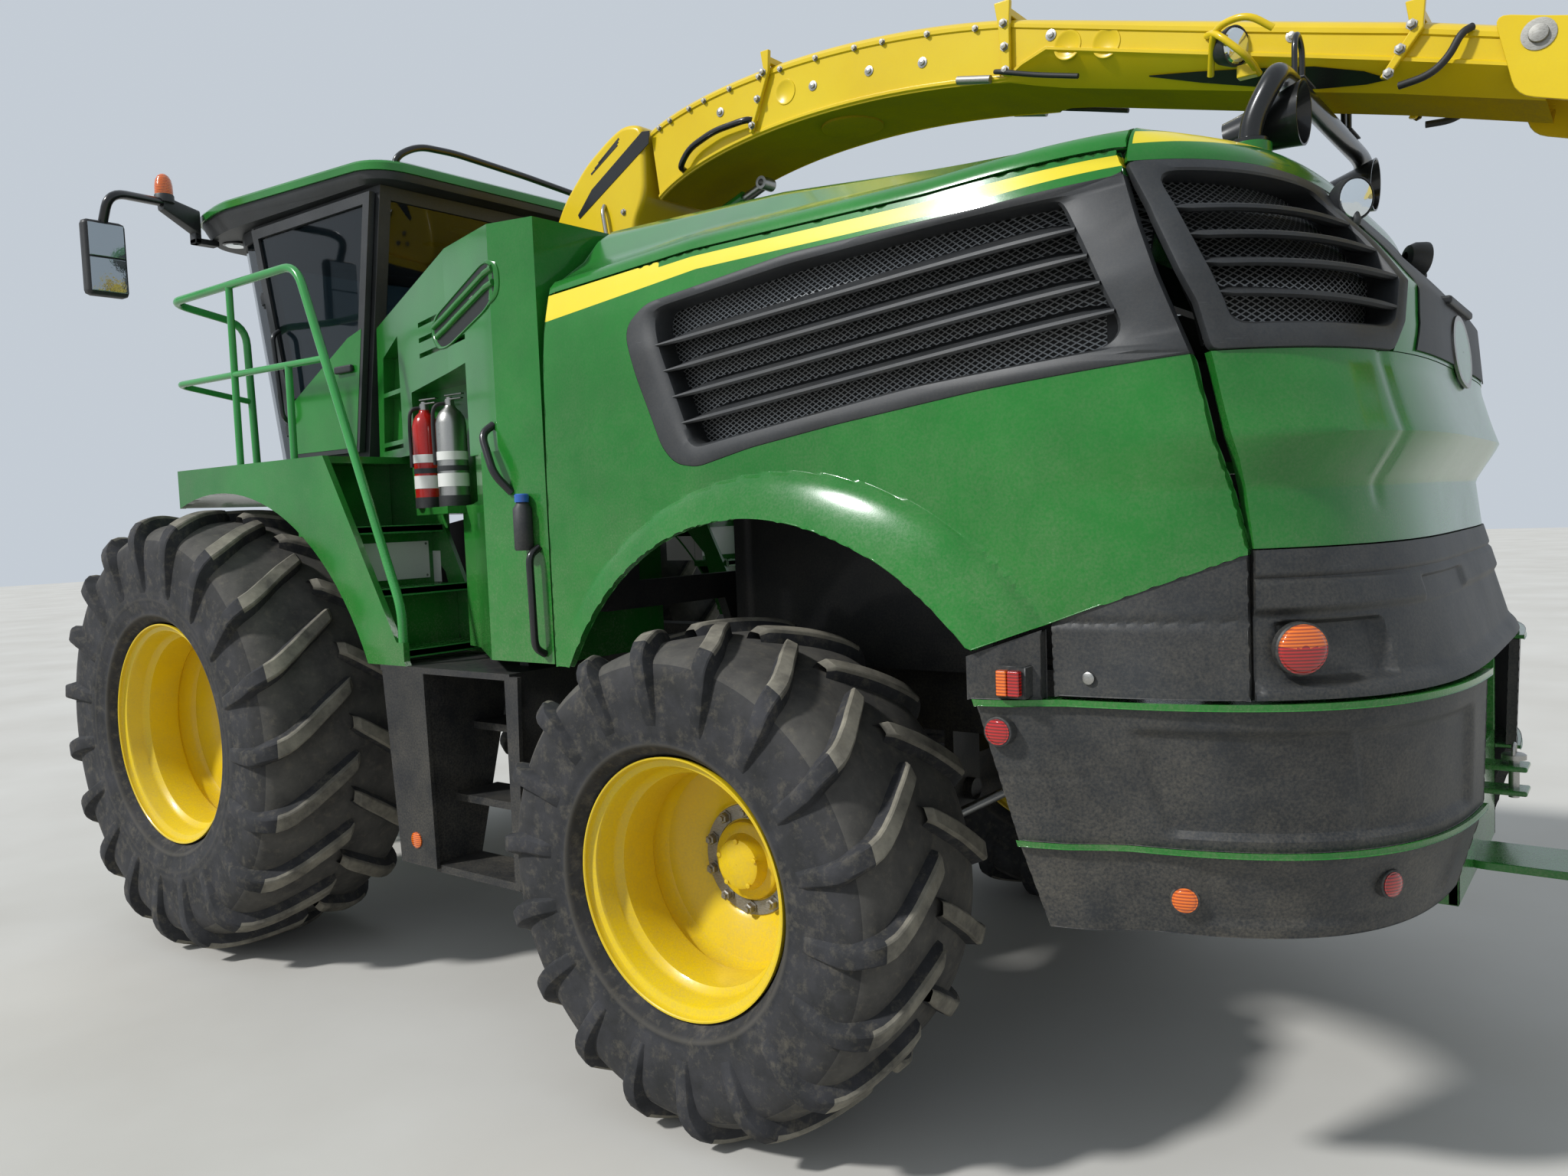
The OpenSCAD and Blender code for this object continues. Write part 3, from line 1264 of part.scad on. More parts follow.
// Strip of plate along a side-view line, above or below it by t
module strip(line, t, y0, y1) {
    side_plate(concat(line, [for (p = reversed(line)) p + [0, t]]), y0, y1);
}

module spout_turret() {
    color(paint_yellow) from_rear_axle() {
        translate([turret_x, 0, turret_z - 69]) cylinder(r = turret_r, h = 80);
        translate([turret_x, 0, turret_z + slide_gap]) cylinder(r = turret_r + 35, h = 36);
        difference() {
            side_plate([[1345, 3190], [1935, 3190], [1900, 3450], [1640, 3700], [1400, 3770],
                        [1262, 3745], [1262, 3440], [1345, 3300]], -250, 250);
            across(lift_hinge, 135, -231, 231);
            across(lift_hinge, 20 + pin_gap, -257, 257);
        }
        both_sides() difference() {
            union() {
                across(lift_hinge, 55, 231, 250);
                block([1250, 231, 3570], [1330, 250, 3670]);
            }
            across(lift_hinge, 20 + pin_gap, 230, 251);
        }
        // Bracket and pin of the lift cylinder
        both_sides() side_plate([[1258, 3222], [1258, 3272], [1350, 3320], [1360, 3200]], 42, 60);
        across(jack_pin, 15, -60, 60);
    }
}

COLLARS = [[560, 3555, 3826], [-530, 3490, 3725], [-1850, 3148, 3350]];

module spout_arm() {
    color(paint_yellow) from_rear_axle() {
        both_sides() {
            side_plate(concat(ARM_TOP, reversed(ARM_LOW)), spout_half - spout_t, spout_half);
            across(lift_hinge, 60, spout_half - 20, spout_half);
            across(lift_hinge, 20, spout_half - 20, 256);
            across(tip_hinge, 12, spout_half - spout_t, 243);
        }
        strip(ARM_TOP, -spout_t, -spout_half + 2, spout_half - 2);
        strip([for (i = [1 : 10]) ARM_LOW[i]], spout_t, -spout_half + 2, spout_half - 2);
        for (c = COLLARS) difference() {
            block([c[0] - 14, -spout_half - 18, c[1] - 18], [c[0] + 14, spout_half + 18, c[2] + 18]);
            block([c[0] - 15, -spout_half + 4, c[1] + 14], [c[0] + 15, spout_half - 4, c[2] - 14]);
        }
        // Cheeks beside the lift cylinder's rod eye
        both_sides() side_plate([[720, 3395], [800, 3395], [830, 3530], [690, 3552]], 42, 60);
    }
}

module spout_tip() {
    y = spout_half + 6;
    color(paint_yellow) from_rear_axle() {
        both_sides() {
            difference() {
                side_plate([[-2095, 3275], [-2165, 3262], [-2700, 3082], [-2700, 2860], [-2095, 3060]],
                           y, y + spout_t);
                across(tip_hinge, 12 + pin_gap, y - 1, y + spout_t + 1);
            }
            across(flap_hinge, 12, y, y + 26);
        }
        strip([[-2170, 3260], [-2700, 3082]], -spout_t, -y - 2, y + 2);
    }
}

module spout_flap() {
    y = spout_half + 20;
    color(paint_yellow) from_rear_axle() {
        both_sides() difference() {
            side_plate([[-2590, 3090], [-2705, 3078], [-3290, 2870], [-3310, 2800], [-2590, 2900]],
                       y, y + spout_t);
            across(flap_hinge, 12 + pin_gap, y - 1, y + spout_t + 1);
        }
        strip([[-2712, 3075], [-3290, 2870]], -spout_t, -y - 2, y + 2);
    }
}

module along_jack() {
    translate([jack_pin[0], 0, jack_pin[1]]) rotate([0, jack_rise - 180, 0]) children();
}

module spout_lift_barrel() {
    color(paint_green) from_rear_axle() along_jack() difference() {
        union() {
            across([0, 0], 30, -38, 38);
            rotate([0, 90, 0]) cylinder(r = 36, h = 430);
        }
        across([0, 0], 15 + pin_gap, -39, 39);
        translate([80, 0, 0]) rotate([0, 90, 0]) cylinder(r = 22 + pin_gap, h = 400);
    }
}

module spout_lift_rod() {
    color(steel_bare) from_rear_axle() along_jack() difference() {
        union() {
            across([jack_length, 0], 28, -38, 38);
            translate([jack_length - 440, 0, 0]) rotate([0, 90, 0]) cylinder(r = 22, h = 430);
        }
        across([jack_length, 0], 15 + pin_gap, -39, 39);
    }
}

chassis_frame();
front_axle();
rear_axle();
knuckle(1);  // knuckle_left
knuckle(-1);  // knuckle_right
tie_rod();
front_rim(1);  // front_rim_left
front_rim(-1);  // front_rim_right
front_tyre(1);  // front_tyre_left
front_tyre(-1);  // front_tyre_right
rear_rim(1);  // rear_rim_left
rear_rim(-1);  // rear_rim_right
rear_tyre(1);  // rear_tyre_left
rear_tyre(-1);  // rear_tyre_right
engine();
cooling_cores();
body_bulkheads();
hood_top();
side_panel(1);  // side_panel_left
side_panel(-1);  // side_panel_right
side_grille(1);  // side_grille_left
side_grille(-1);  // side_grille_right
tail_hood();
tail_grille();
tail_band();
rear_skirt();
skirt_bars();
lamps();
crop_channel();
feed_housing();
feed_roll(roll_up, 170, 8);  // feed_roll_upper
feed_roll(roll_low, 100, 6);  // feed_roll_lower
header_lift_barrels();
header_lift_rods();
platform(1);  // platform_left
platform(-1);  // platform_right
console(1);  // console_left
console(-1);  // console_right
lower_steps();
handrails();
extinguishers();
cab_base();
cab_frame();
cab_roof();
cab_glass();
cab_door();
cab_door_glass();
cab_interior();
mirrors();
spout_turret();
spout_arm();
spout_tip();
spout_flap();
spout_lift_barrel();
spout_lift_rod();
spout_rest();
exhausts();
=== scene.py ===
"""Looks of the forage harvester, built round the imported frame.

Shapes are worked out in millimetres from the middle of the rear axle on the floor, x forwards, y to the
left and z up, and place() takes them to metres in the row frame. A side is +1 on the left and -1 on the
right."""
import json
import math

import bpy
import numpy as np
from mathutils import Matrix


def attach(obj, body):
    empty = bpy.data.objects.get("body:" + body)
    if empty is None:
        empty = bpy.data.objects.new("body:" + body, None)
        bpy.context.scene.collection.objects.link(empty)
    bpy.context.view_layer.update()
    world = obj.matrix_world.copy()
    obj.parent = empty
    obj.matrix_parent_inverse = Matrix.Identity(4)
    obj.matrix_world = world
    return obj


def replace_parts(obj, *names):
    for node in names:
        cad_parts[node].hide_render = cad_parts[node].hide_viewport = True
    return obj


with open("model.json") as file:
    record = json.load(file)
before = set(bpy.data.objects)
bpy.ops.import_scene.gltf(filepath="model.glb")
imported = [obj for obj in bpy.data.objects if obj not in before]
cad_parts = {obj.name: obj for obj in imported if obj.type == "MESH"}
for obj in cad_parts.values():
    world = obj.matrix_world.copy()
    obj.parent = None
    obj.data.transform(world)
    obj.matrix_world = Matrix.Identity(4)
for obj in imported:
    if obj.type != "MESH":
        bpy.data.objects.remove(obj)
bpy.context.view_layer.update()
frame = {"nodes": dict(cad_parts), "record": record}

# Station of the rear axle in the row frame, in metres
REAR_AXLE = -0.655
# Station, in millimetres from the rear axle, where the body's plan starts to round
CURVE = -520.0
WORD = {1: "left", -1: "right"}


def linear(value):
    """Turns an sRGB hex colour into the linear RGBA that shader sockets take."""
    parts = [int(value[i:i + 2], 16) / 255 for i in (1, 3, 5)]
    return [c / 12.92 if c <= 0.04045 else ((c + 0.055) / 1.055) ** 2.4 for c in parts] + [1.0]


def add(tree, kind, links=None, ramp=None, **settings):
    """Adds a shader node: settings are its attributes, links its input sockets' sources or values."""
    node = tree.nodes.new("ShaderNode" + kind)
    for name, value in settings.items():
        setattr(node, name, value)
    for key, value in (links or {}).items():
        socket = node.inputs[key]
        if isinstance(value, bpy.types.NodeSocket):
            tree.links.new(value, socket)
        else:
            socket.default_value = linear(value) if isinstance(value, str) else value
    if ramp:
        stops = node.color_ramp.elements
        while len(stops) < len(ramp):
            stops.new(0.5)
        for stop, (place_, value) in zip(stops, ramp):
            stop.position = place_
            stop.color = linear(value) if isinstance(value, str) else (value, value, value, 1)
    return node


def material(name):
    """Empty node material, its tree and the object coordinates in metres."""
    made = bpy.data.materials.new(name)
    made.use_nodes = True
    tree = made.node_tree
    tree.nodes.clear()
    return made, tree, add(tree, "TexCoord").outputs["Object"]


def finish(tree, shader):
    """Joins the last shader to the material's output."""
    add(tree, "OutputMaterial", {"Surface": shader})


def dirt(tree, where, low, high, amount):
    """Share of dust: thick below the height low, gone above high in metres, broken up by clouds about 180 mm
    and specks about 8 mm across."""
    height = add(tree, "SeparateXYZ", {0: where}).outputs["Z"]
    fall = add(tree, "MapRange",
               {"Value": height, "From Min": low, "From Max": high, "To Min": 1.0, "To Max": 0.16})
    cloud = add(tree, "TexNoise", {"Vector": where, "Scale": 5.5, "Detail": 9.0, "Roughness": 0.68})
    speck = add(tree, "TexNoise", {"Vector": where, "Scale": 130.0, "Detail": 3.0, "Roughness": 0.6})
    both = add(tree, "Math", {0: cloud.outputs[0], 1: speck.outputs[0]}, operation="MULTIPLY")
    ramp = add(tree, "MapRange",
               {"Value": both.outputs[0], "From Min": 0.16, "From Max": 0.42, "To Max": amount})
    return add(tree, "Math", {0: fall.outputs[0], 1: ramp.outputs[0]}, operation="MULTIPLY").outputs[0]


def enamel(name, colour, faded, roughness=0.2, dust="#8f8775", amount=0.55, low=0.9, high=2.6, coat=0.45,
           shine=0.3):
    """Sprayed enamel: slow fading between two tones over 0.6 m, a clear coat that keeps sharp reflections,
    and dust that dulls and lightens the lower parts. Real orange peel is 1 to 2 mm across, too fine to show
    here, so it is drawn about 4 mm across; it only breaks up the highlights."""
    made, tree, where = material(name)
    fade = add(tree, "TexNoise", {"Vector": where, "Scale": 1.6, "Detail": 6.0, "Roughness": 0.6})
    tone = add(tree, "ValToRGB", {"Fac": fade.outputs[0]}, ramp=[(0.34, colour), (0.72, faded)])
    share = dirt(tree, where, low, high, amount)
    mixed = add(tree, "Mix", {"Factor": share, 6: tone.outputs[0], 7: dust}, data_type="RGBA")
    rough = add(tree, "MapRange", {"Value": share, "To Min": roughness, "To Max": 0.78})
    peel = add(tree, "TexNoise", {"Vector": where, "Scale": 260.0, "Detail": 2.0})
    bump = add(tree, "Bump", {"Height": peel.outputs[0], "Strength": 0.045, "Distance": 0.0016})
    shader = add(tree, "BsdfPrincipled", {
        "Base Color": mixed.outputs[2], "Roughness": rough.outputs[0], "Normal": bump.outputs[0],
        "Coat Weight": coat, "Coat Roughness": 0.1, "Specular IOR Level": shine})
    finish(tree, shader.outputs[0])
    return made


def moulding(name, colour, pale, grain=420.0, amount=0.35, roughness=0.5):
    """Grained black plastic: a soft, broken sheen from its leather grain, pale scuffs about 110 mm long and
    6 mm high along the panel, and dust in the low parts. Real grain is under 1 mm; it is drawn 1000 / grain
    mm across, 2.4 mm as a rule, coarse enough to show."""
    made, tree, where = material(name)
    cloud = add(tree, "TexNoise", {"Vector": where, "Scale": 3.2, "Detail": 7.0, "Roughness": 0.62})
    tone = add(tree, "ValToRGB", {"Fac": cloud.outputs[0]}, ramp=[(0.35, colour), (0.75, pale)])
    slide = add(tree, "Mapping", {"Vector": where, "Scale": (3.0, 3.0, 60.0)})
    scuff = add(tree, "TexNoise",
                {"Vector": slide.outputs[0], "Scale": 3.0, "Detail": 8.0, "Roughness": 0.75})
    mark = add(tree, "MapRange",
               {"Value": scuff.outputs[0], "From Min": 0.62, "From Max": 0.8, "To Max": 0.3})
    worn = add(tree, "Mix", {"Factor": mark.outputs[0], 6: tone.outputs[0], 7: "#8b8d8c"}, data_type="RGBA")
    share = dirt(tree, where, 0.8, 2.2, amount)
    mixed = add(tree, "Mix", {"Factor": share, 6: worn.outputs[2], 7: "#857d6d"}, data_type="RGBA")
    skin = add(tree, "TexVoronoi", {"Vector": where, "Scale": grain})
    bump = add(tree, "Bump", {"Height": skin.outputs[0], "Strength": 0.16, "Distance": 0.0006})
    rough = add(tree, "MapRange",
                {"Value": cloud.outputs[0], "To Min": roughness - 0.1, "To Max": roughness + 0.16})
    shader = add(tree, "BsdfPrincipled", {
        "Base Color": mixed.outputs[2], "Roughness": rough.outputs[0], "Normal": bump.outputs[0]})
    finish(tree, shader.outputs[0])
    return made


def rubber(name, dark="#202122", pale="#37373a"):
    """Tyre rubber: dull grey-black in patches of 140 mm, with dried soil in crumbs of about 40 mm and a pale
    bloom on the raised edges. The skin's fine pitting is drawn 3 mm across, coarser than real, to show."""
    made, tree, where = material(name)
    cloud = add(tree, "TexNoise", {"Vector": where, "Scale": 7.0, "Detail": 9.0, "Roughness": 0.66})
    tone = add(tree, "ValToRGB", {"Fac": cloud.outputs[0]}, ramp=[(0.35, dark), (0.72, pale)])
    edge = add(tree, "NewGeometry")
    raised = add(tree, "MapRange",
                 {"Value": edge.outputs["Pointiness"], "From Min": 0.5, "From Max": 0.58, "To Max": 0.55})
    soil = add(tree, "TexNoise", {"Vector": where, "Scale": 24.0, "Detail": 10.0, "Roughness": 0.72})
    patch = add(tree, "MapRange",
                {"Value": soil.outputs[0], "From Min": 0.5, "From Max": 0.76, "To Max": 0.42})
    share = add(tree, "Math", {0: raised.outputs[0], 1: patch.outputs[0]}, operation="MAXIMUM")
    mixed = add(tree, "Mix", {"Factor": share.outputs[0], 6: tone.outputs[0], 7: "#77705f"}, data_type="RGBA")
    fine = add(tree, "TexNoise", {"Vector": where, "Scale": 320.0, "Detail": 4.0})
    bump = add(tree, "Bump", {"Height": fine.outputs[0], "Strength": 0.25, "Distance": 0.001})
    shader = add(tree, "BsdfPrincipled", {
        "Base Color": mixed.outputs[2], "Roughness": 0.82, "Normal": bump.outputs[0],
        "Specular IOR Level": 0.35})
    finish(tree, shader.outputs[0])
    return made


def steel(name, colour, roughness=0.3):
    """Bare steel: a metal mirror drawn out by brushed scratches, 11 mm long and 0.8 mm wide, and dulled in
    patches by handling."""
    made, tree, where = material(name)
    stretch = add(tree, "Mapping", {"Vector": where, "Scale": (1.0, 14.0, 14.0)})
    line = add(tree, "TexNoise",
               {"Vector": stretch.outputs[0], "Scale": 90.0, "Detail": 5.0, "Roughness": 0.7})
    rough = add(tree, "MapRange", {"Value": line.outputs[0], "From Min": 0.3, "From Max": 0.7,
                                   "To Min": roughness - 0.1, "To Max": roughness + 0.2})
    tone = add(tree, "ValToRGB", {"Fac": line.outputs[0]}, ramp=[(0.3, colour), (0.8, "#c6c5c0")])
    shader = add(tree, "BsdfPrincipled", {
        "Base Color": tone.outputs[0], "Roughness": rough.outputs[0], "Metallic": 1.0})
    finish(tree, shader.outputs[0])
    return made


def lens(name, colour, prism_shade):
    """Moulded lamp lens: clear gloss outside over level prisms, with painted shade on their faces as darker
    bands, drawn 8 mm high where real ones are 3 to 5 mm, so that they show."""
    made, tree, where = material(name)
    rows = add(tree, "TexWave", {"Vector": where, "Scale": 38.0, "Distortion": 0.0}, bands_direction="Z")
    # each band goes from dark to the lens colour: painted shade on the prism faces
    tone = add(tree, "ValToRGB", {"Fac": rows.outputs[0]}, ramp=[(0.0, prism_shade), (0.8, colour)])
    bump = add(tree, "Bump", {"Height": rows.outputs[0], "Strength": 0.3, "Distance": 0.002})
    shader = add(tree, "BsdfPrincipled", {
        "Base Color": tone.outputs[0], "Roughness": 0.16, "Coat Weight": 1.0, "Coat Roughness": 0.03,
        "Normal": bump.outputs[0], "Subsurface Weight": 0.15, "Subsurface Scale": 0.01})
    finish(tree, shader.outputs[0])
    return made


def glazing(name, colour, clear=0.72):
    """Tinted cab glass: mostly mirror at grazing angles, smoky from straight on, with a film of dust in
    patches of 170 mm that softens the mirror."""
    made, tree, where = material(name)
    film = add(tree, "TexNoise", {"Vector": where, "Scale": 6.0, "Detail": 8.0, "Roughness": 0.7})
    rough = add(tree, "MapRange",
                {"Value": film.outputs[0], "From Min": 0.45, "From Max": 0.8, "To Min": 0.02, "To Max": 0.14})
    body = add(tree, "BsdfPrincipled", {
        "Base Color": colour, "Roughness": rough.outputs[0], "Coat Weight": 0.5, "Coat Roughness": 0.02,
        "Specular IOR Level": 0.8})
    through = add(tree, "BsdfTransparent", {"Color": "#aab8bd"})
    facing = add(tree, "LayerWeight", {"Blend": 0.25})
    share = add(tree, "MapRange", {"Value": facing.outputs["Facing"], "To Min": clear, "To Max": 0.05})
    both = add(tree, "MixShader", {0: share.outputs[0], 1: body.outputs[0], 2: through.outputs[0]})
    finish(tree, both.outputs[0])
    return made


def expanded(name, pitch=0.016, round_tail=False):
    """Diamond mesh of thin grey wire: two sets of bands at a slant, clear between them. A wire lies where
    the height plus or minus 0.62 times the width is near a multiple of the pitch in metres, which is 16 mm,
    coarser than a real guard mesh of 8 to 10 mm, so that it shows."""
    made, tree, where = material(name)
    part = add(tree, "SeparateXYZ", {0: where})
    around = add(tree, "Math", {0: part.outputs["X"], 1: part.outputs["Y"]}, operation="SUBTRACT")
    if round_tail:
        # the width runs round the tail: its plan angle times its mean radius, 1.45 m
        back = add(tree, "Math", {0: REAR_AXLE + CURVE / 1000, 1: part.outputs["X"]}, operation="SUBTRACT")
        angle = add(tree, "Math", {0: part.outputs["Y"], 1: back.outputs[0]}, operation="ARCTAN2")
        around = add(tree, "Math", {0: angle.outputs[0], 1: 1.45}, operation="MULTIPLY")
    wires = []
    for lean in (0.62, -0.62):
        slant = add(tree, "Math", {0: around.outputs[0], 1: lean}, operation="MULTIPLY")
        line = add(tree, "Math", {0: slant.outputs[0], 1: part.outputs["Z"]}, operation="ADD")
        fold = add(tree, "Math", {0: line.outputs[0], 1: pitch / 2}, operation="PINGPONG")
        wires.append(add(tree, "Math", {0: fold.outputs[0], 1: pitch * 0.12},
                         operation="LESS_THAN").outputs[0])
    wire = add(tree, "Math", {0: wires[0], 1: wires[1]}, operation="MAXIMUM")
    metal = add(tree, "BsdfPrincipled", {"Base Color": "#8f9192", "Roughness": 0.45, "Metallic": 0.6})
    clear = add(tree, "BsdfTransparent")
    both = add(tree, "MixShader", {0: wire.outputs[0], 1: clear.outputs[0], 2: metal.outputs[0]})
    finish(tree, both.outputs[0])
    return made


def glossy(name, colour, roughness):
    """Mirror glass or a clear lens with its reflector: a sharp mirror, broken by a faint ripple of 17 mm."""
    made, tree, where = material(name)
    ripple = add(tree, "TexNoise", {"Vector": where, "Scale": 60.0, "Detail": 2.0})
    bump = add(tree, "Bump", {"Height": ripple.outputs[0], "Strength": 0.08, "Distance": 0.002})
    shader = add(tree, "BsdfPrincipled", {
        "Base Color": colour, "Roughness": roughness, "Metallic": 0.85, "Normal": bump.outputs[0],
        "Coat Weight": 1.0})
    finish(tree, shader.outputs[0])
    return made


# Finishes by their slot or use; enamels give two tones, roughness, dust, its amount and heights, coat, shine
LOOKS = {
    "body_paint": enamel("green enamel", "#17651f", "#227a2a", 0.2, amount=0.3),
    "yellow_paint": enamel("yellow enamel", "#d3b20a", "#dcc01c", 0.3, "#a08c58", 0.4, 0.6, 2.4, 0.2),
    # darker yellow for the spout's underside: painted shade, with dust
    "shaded_dusty_yellow": enamel("yellow with painted shade", "#a88c0e", "#b59816", 0.9, "#85743a", 0.7, 3.0, 4.5, 0.0, 0.0),
    "stripe": enamel("yellow stripe", "#dcc81e", "#e2d035", 0.3, amount=0.3),
    "dark_paint": enamel("chassis paint", "#1c1e20", "#28292c", 0.5, "#6d675a", 0.45, 0.6, 2.2, 0.1),
    "black_gloss_paint": enamel("black tube paint", "#111213", "#1a1b1c", 0.3, "#6e6a60", 0.2, 0.5, 1.5, 0.5),
    "black_plastic": moulding("black moulding", "#1d1f21", "#2d3033"),
    # near-black sheet set in openings and behind grilles: painted shade
    "dark_void": moulding("unlit inside", "#070808", "#0c0d0e", amount=0.1),
    "bare_steel": steel("bright steel", "#8f8e8a"),
    "radiator": moulding("radiator core", "#17181a", "#2a2b2d", 160.0, 0.3),
    "tyre": rubber("tyre rubber"),
    "tread": rubber("dusty tread rubber", "#383736", "#55534e"),
    "lug_face": rubber("worn lug rubber", "#4e4b45", "#918c7d"),
    "glass": glazing("tinted glass", "#10171b"),
    "mesh": expanded("diamond mesh"),
    "mesh_round": expanded("diamond mesh round the tail", round_tail=True),
    "lamp_red": lens("red lens", "#b50d0b", "#5d0403"),
    "lamp_orange": lens("orange lens", "#e8700c", "#9a3a04"),
    "lamp_clear": glossy("clear lamp", "#dfe6ea", 0.06),
    "red_paint": enamel("red enamel", "#a0120d", "#b01a12", 0.22, amount=0.2),
    "cab_trim": moulding("cab trim", "#2a2b2d", "#3c3d40", 300.0, 0.1, 0.65),
    "mirror": glossy("mirror glass", "#9aa4aa", 0.03),
    "hose": moulding("ribbed hose", "#151515", "#232323", 260.0, 0.2, 0.6),
    "blue": enamel("blue cap", "#1c4f9c", "#2a62b0", 0.4, amount=0.1),
    # lighter green of the rails; on the stair nosings it is painted sunlight
    "bright_green": enamel("rail enamel and painted nosing highlight", "#2a8138", "#37954a", 0.25, amount=0.25),
    "cream": enamel("cream seal", "#cfcab2", "#dcd7c2", 0.45, amount=0.1),
    "dusty_steel": steel("dusty steel", "#6d6a62", 0.5),
    "label": enamel("white plate", "#d8d8d2", "#e4e4df", 0.4, amount=0.15),
}
SLOT = {p["node"]: p["material_slot"] for p in frame["record"]["subparts"]}
for name, obj in frame["nodes"].items():
    obj.data.materials.clear()
    obj.data.materials.append(LOOKS[SLOT[name]])


def place(points):
    """Millimetres measured from the rear axle to metres in the row frame."""
    return np.asarray(points, float) / 1000 + np.array([REAR_AXLE, 0, 0])


def quads(m, n, first=0, wrap_m=False, wrap_n=False, flip=False):
    """Faces of an m by n grid of vertices that starts at index first."""
    i, j = np.meshgrid(np.arange(m if wrap_m else m - 1), np.arange(n if wrap_n else n - 1), indexing="ij")
    k, l = (i + 1) % m, (j + 1) % n
    faces = np.stack([i * n + j, k * n + j, k * n + l, i * n + l], -1).reshape(-1, 4) + first
    return faces[:, ::-1] if flip else faces


def build(name, points, faces, look, body="chassis", angle=35):
    """Mesh object from arrays of points in metres and faces, smooth but for edges sharper than angle."""
    mesh = bpy.data.meshes.new(name)
    points = np.asarray(points, float).reshape(-1, 3)
    faces = [np.asarray(f, int) for f in (faces if isinstance(faces, list) else [faces])]
    loops = np.concatenate([f.ravel() for f in faces])
    counts = np.concatenate([np.full(len(f), f.shape[1]) for f in faces])
    mesh.vertices.add(len(points))
    mesh.vertices.foreach_set("co", points.ravel())
    mesh.loops.add(len(loops))
    mesh.loops.foreach_set("vertex_index", loops)
    mesh.polygons.add(len(counts))
    mesh.polygons.foreach_set("loop_start", np.concatenate([[0], np.cumsum(counts)[:-1]]))
    mesh.polygons.foreach_set("loop_total", counts)
    mesh.update(calc_edges=True)
    mesh.validate()
    mesh.shade_smooth()
    mesh.set_sharp_from_angle(angle=math.radians(angle))
    obj = bpy.data.objects.new(name, mesh)
    bpy.context.collection.objects.link(obj)
    mesh.materials.append(LOOKS[look])
    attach(obj, body)
    return obj


def face_centres(obj):
    """Centres of a mesh's faces in millimetres from the rear axle."""
    centre = np.zeros(len(obj.data.polygons) * 3)
    obj.data.polygons.foreach_get("center", centre)
    return centre.reshape(-1, 3) * 1000 - np.array([REAR_AXLE * 1000, 0, 0])


def span(side, a, b):
    """Two distances from the centre line on one side, the lesser y first."""
    return sorted((side * a, side * b))


def shell(name, outer, inner, look, body="chassis", angle=35):
    """Closed skin between an outer and an inner grid of millimetre points of one shape."""
    m, n = outer.shape[:2]
    total = m * n
    idx = np.arange(total).reshape(m, n)
    rims = []
    for line, flip in ((idx[:, 0], False), (idx[:, -1], True), (idx[0], True), (idx[-1], False)):
        a, b = line[:-1], line[1:]
        face = np.stack([a, a + total, b + total, b], -1)
        rims.append(face[:, ::-1] if flip else face)
    faces = np.concatenate([quads(m, n, flip=True), quads(m, n, total)] + rims)
    return build(name, place(np.concatenate([outer.reshape(-1, 3), inner.reshape(-1, 3)])), faces, look, body,
                 angle)


def revolve(name, profile, centre, look, body, count=96, angle=30):
    """Surface of a [sideways, radius] profile turned about a wheel's axle at centre, side +1 or -1."""
    x, y, z, side = centre
    turn = np.linspace(0, 2 * math.pi, count, endpoint=False)[:, None]
    profile = np.asarray(profile, float)
    points = np.stack([profile[:, 1] * np.sin(turn),
                       np.broadcast_to(profile[:, 0] * side, (count, len(profile))),
                       profile[:, 1] * np.cos(turn)], -1) + np.array([x, y, z])
    faces = quads(count, len(profile), wrap_m=True, flip=side > 0)
    return build(name, place(points), faces, look, body, angle)


def casing(crown, rim, width):
    """Tyre casing as a function from an angle to [sideways, radius]: a fourth-power oval, as in the CAD."""
    mid = rim + (crown - rim) * 0.47
    def at(t):
        """Point of the oval at an angle, 0 at the wall and a right angle at the crown."""
        s, c = np.sin(t), np.cos(t)
        return np.stack([width / 2 * np.sign(c) * np.abs(c) ** 0.5,
                         mid + (crown - mid) * np.sign(s) * np.abs(s) ** 0.5], -1)
    return at


def tint(obj, look, where):
    """Gives a second finish to the faces where the mask is true."""
    obj.data.materials.append(LOOKS[look])
    obj.data.polygons.foreach_set("material_index", np.asarray(where, np.int32))


